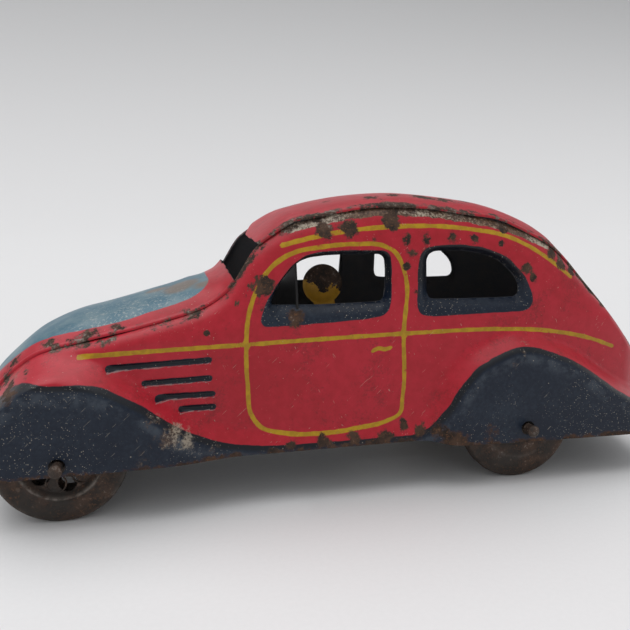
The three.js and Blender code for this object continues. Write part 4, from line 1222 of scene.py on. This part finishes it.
AXLE_RADIUS = 1.2
HEAD_RADIUS_PEENED = 1.5
WHEEL_FACE = 25.4
WHEEL_WIDTH = 6.1
HALF_WIDTH = WHEEL_WIDTH / 2 - 0.125
WHEEL_TIN = 0.4
WHEEL_BORE = 2.75
RING_RADIUS = 9.3
HUB_RADIUS = 2.5
HUB_BORE = 1.45
PIERCINGS = 6
PIERCING_RADIUS = 2.1
PIERCING_PLACE = (WHEEL_BORE + RING_RADIUS) / 2
PIERCING_TURN = 0.3         # share of a pitch that the first piercing is turned by
LIP_WIRE = 0.22


def rusty_metal(name, bright, rubbed=False):
    """Dark rusty sheet; with rubbed it is worn bright where the attribute of that name says."""
    material, tree, place = new_material(name)
    rust = use_group(tree, RUST, Place=place, Bright=bright)
    film = noise(tree, place, 120.0, 4.0, 0.6, 81.0)
    colour = blend(tree, rise(tree, film, 0.4, 0.65), rust["Colour"], (0.032, 0.026, 0.022, 1))
    worn = use_group(tree, SPECKS, Place=place, Scale=700.0, Share=0.10, Size=0.35)
    colour = tint(tree, worn["Mask"], 0.4, colour, (0.16, 0.11, 0.08, 1))
    if rubbed:
        rub = attribute(tree, "rubbed")
        patch = rise(tree, noise(tree, place, 420.0, 4.0, 0.65, 83.0), 0.36, 0.6)
        colour = tint(tree, rub, patch, colour, (0.17, 0.145, 0.125, 1))
    rough = minus(tree, rust["Roughness"], 0.12)
    normal = bumped(tree, rust["Height"], 0.00022)
    surface(tree, Base_Color=colour, Roughness=rough, Metallic=0.15, Normal=normal)
    return material


def turned_mesh(name, profile, x, y, z, outwards=1, segments=96):
    """Revolves a closed [radius, out] profile about the Y axis at (x, z), in mm."""
    profile = np.array(profile)
    turn = np.arange(segments) * 2 * math.pi / segments
    radius, out = profile[:, 0][None, :], profile[:, 1][None, :]
    verts = np.stack([x + radius * np.cos(turn)[:, None], y + outwards * out + 0 * turn[:, None],
                      z + radius * np.sin(turn)[:, None]], -1)
    count = len(profile)
    grid = np.arange(segments * count).reshape(segments, count)
    a, b = grid, np.roll(grid, -1, axis=0)
    faces = np.stack([a, b, np.roll(b, -1, axis=1), np.roll(a, -1, axis=1)], -1).reshape(-1, 4)
    return face_out(plain_mesh(name, verts.reshape(-1, 3), faces.tolist()))


def rod_mesh(name, radius, y_half, x, z, head=0.0):
    """A round bar along Y with domed ends, each swollen to head where it is peened."""
    swell = max(head, radius)
    dome = [(swell * math.cos(a), y_half - 0.9 + 0.9 * math.sin(a))
            for a in np.linspace(math.pi / 2, 0, 9)]
    dome[0] = (0.0004, dome[0][1])
    near = dome + [(swell * 0.97, y_half - 1.25), (radius, y_half - 1.5)]
    far = [(r, -out) for r, out in reversed(near)]
    profile = near + far
    return turned_mesh(name, profile, x, 0, z, segments=40)


def half_profile(spoked):
    if spoked:
        outer = [(WHEEL_BORE, -1.5), (3.6, -1.45), (6.0, -1.55), (7.9, -1.4), (8.6, -0.7), (9.3, -0.05),
                 (10.0, -0.55), (11.2, -0.62), (13.6, -0.42), (14.4, -0.62), (14.85, -1.05), (15, -1.6),
                 (15, -HALF_WIDTH)]
    else:
        outer = [(WHEEL_BORE, -0.1), (4.2, -0.05), (8.0, -0.12), (9.3, -0.3), (11.2, -0.36), (13.4, -0.62),
                 (14.3, -0.9), (14.8, -1.35), (15, -1.95), (15, -HALF_WIDTH)]
    face = through(outer, 5)
    run = np.gradient(face, axis=0)
    length = np.maximum(np.hypot(run[:, 0], run[:, 1]), 1e-6)
    inner = face + np.stack([run[:, 1], -run[:, 0]], -1) / length[:, None] * WHEEL_TIN
    inner[-1] = (15 - WHEEL_TIN, -HALF_WIDTH)
    return np.vstack([face, inner[::-1]])


def lip_tree():
    """A rolled lip round each piercing: rings set evenly on a circle about the Y axis."""
    names = {"Count": 6, "Place": 0.006, "Lip": 0.002, "Wire": 0.0002, "Turn": 0.0,
             "X": 0.0, "Y": 0.0, "Z": 0.0, "Material": None}
    tree, given = tree_with("pierced_lips", names)
    circle = put(tree, "GeometryNodeMeshCircle", {"Vertices": given["Count"],
                                                  "Radius": given["Place"]})
    turn = put(tree, "ShaderNodeCombineXYZ", {2: given["Turn"]})
    turned = put(tree, "GeometryNodeTransform", {"Geometry": circle.outputs[0],
                                                 "Rotation": turn.outputs[0]})
    path = put(tree, "GeometryNodeCurvePrimitiveCircle", {"Resolution": 32, "Radius": given["Lip"]})
    wire = put(tree, "GeometryNodeCurvePrimitiveCircle", {"Resolution": 8, "Radius": given["Wire"]})
    lip = put(tree, "GeometryNodeCurveToMesh", {"Curve": path.outputs[0],
                                                "Profile Curve": wire.outputs[0]})
    copies = put(tree, "GeometryNodeInstanceOnPoints", {"Points": turned.outputs[0],
                                                        "Instance": lip.outputs[0]})
    return end_tree(tree, given, copies.outputs[0])


WHEEL_RUST = rusty_metal("rusty_wheel_tin", 0.15, rubbed=True)
AXLE_RUST = rusty_metal("rusty_axle_wire", 0.3)
LIPS = lip_tree()


def rub_ring(mesh, x, y, side, spoked):
    """Marks on each vertex how far the paint is rubbed off: the ring and the tread's corner."""
    px, py, pz = vertex_places(mesh).T / MM
    radius = np.hypot(px - x, pz - WHEEL_RADIUS)
    shown = smooth_step(-1.5, -0.4, (py - y) * side)
    ring_rub = np.exp(-((radius - RING_RADIUS) / 0.45) ** 2) * (1.0 if spoked else 0.25)
    rim_rub = 0.35 * np.exp(-((radius - 14.7) / 0.5) ** 2)
    store(mesh, "rubbed", np.maximum(ring_rub, rim_rub) * shown)


def make_wheel(corner, x, side, spoked, body):
    for half in ("face", "back"):
        name = "%s_wheel_%s" % (corner, half)
        outwards = side if half == "face" else -side
        y = side * (WHEEL_FACE if half == "face" else WHEEL_FACE - WHEEL_WIDTH)
        mesh = turned_mesh(name, half_profile(spoked and half == "face"), x, y, WHEEL_RADIUS, outwards)
        if spoked:
            cutters = []
            for i in range(PIERCINGS):
                turn = (i + PIERCING_TURN) * 2 * math.pi / PIERCINGS
                centre = (x + PIERCING_PLACE * math.cos(turn),
                          WHEEL_RADIUS + PIERCING_PLACE * math.sin(turn))
                cutters.append(prism(ring(*centre, PIERCING_RADIUS, 24), y - 6, y + 6))
            mesh = cut_away(mesh, cutters)
        rub_ring(mesh, x, y, outwards, spoked)
        finish_mesh(mesh, 38)
        add_piece("pressed_" + name, mesh, WHEEL_RUST, body, "rusty_tin", name)
        if spoked and half == "face":
            lips = grown_mesh(corner + "_piercing_lips", LIPS, {
                "Count": PIERCINGS, "Place": PIERCING_PLACE * MM, "Lip": (PIERCING_RADIUS + 0.1) * MM,
                "Wire": LIP_WIRE * MM, "Turn": -PIERCING_TURN * 2 * math.pi / PIERCINGS,
                "X": x * MM, "Y": (y - side * 1.5) * MM, "Z": WHEEL_RADIUS * MM, "Material": WHEEL_RUST})
            finish_mesh(lips, 60)
            add_piece(corner + "_piercing_lips", lips, WHEEL_RUST, body, "rusty_tin")
    reach = WHEEL_WIDTH + 0.6
    tube = [(HUB_BORE, 0.45), (HUB_BORE + 0.15, 0.6), (HUB_RADIUS - 0.15, 0.6), (HUB_RADIUS, 0.45),
            (HUB_RADIUS, -reach + 0.15), (HUB_RADIUS - 0.15, -reach), (HUB_BORE + 0.15, -reach),
            (HUB_BORE, -reach + 0.15)]
    mesh = turned_mesh(corner + "_hub_tube", tube, x, side * WHEEL_FACE, WHEEL_RADIUS, side, 48)
    finish_mesh(mesh, 35)
    add_piece(corner + "_hub_tube", mesh, AXLE_RUST, body, "rusty_tin", corner + "_hub")


def make_axle(name, x, body):
    mesh = rod_mesh(name, AXLE_RADIUS, 32.5, x, WHEEL_RADIUS, HEAD_RADIUS_PEENED)
    finish_mesh(mesh, 50)
    add_piece("peened_" + name, mesh, AXLE_RUST, body, "rusty_steel", name)


make_axle("front_axle", FRONT_AXLE_X, "front_wheelset")
make_axle("rear_axle", REAR_AXLE_X, "rear_wheelset")
for hand, side in (("left", 1), ("right", -1)):
    make_wheel("front_" + hand, FRONT_AXLE_X, side, True, "front_wheelset")
    make_wheel("rear_" + hand, REAR_AXLE_X, side, False, "rear_wheelset")
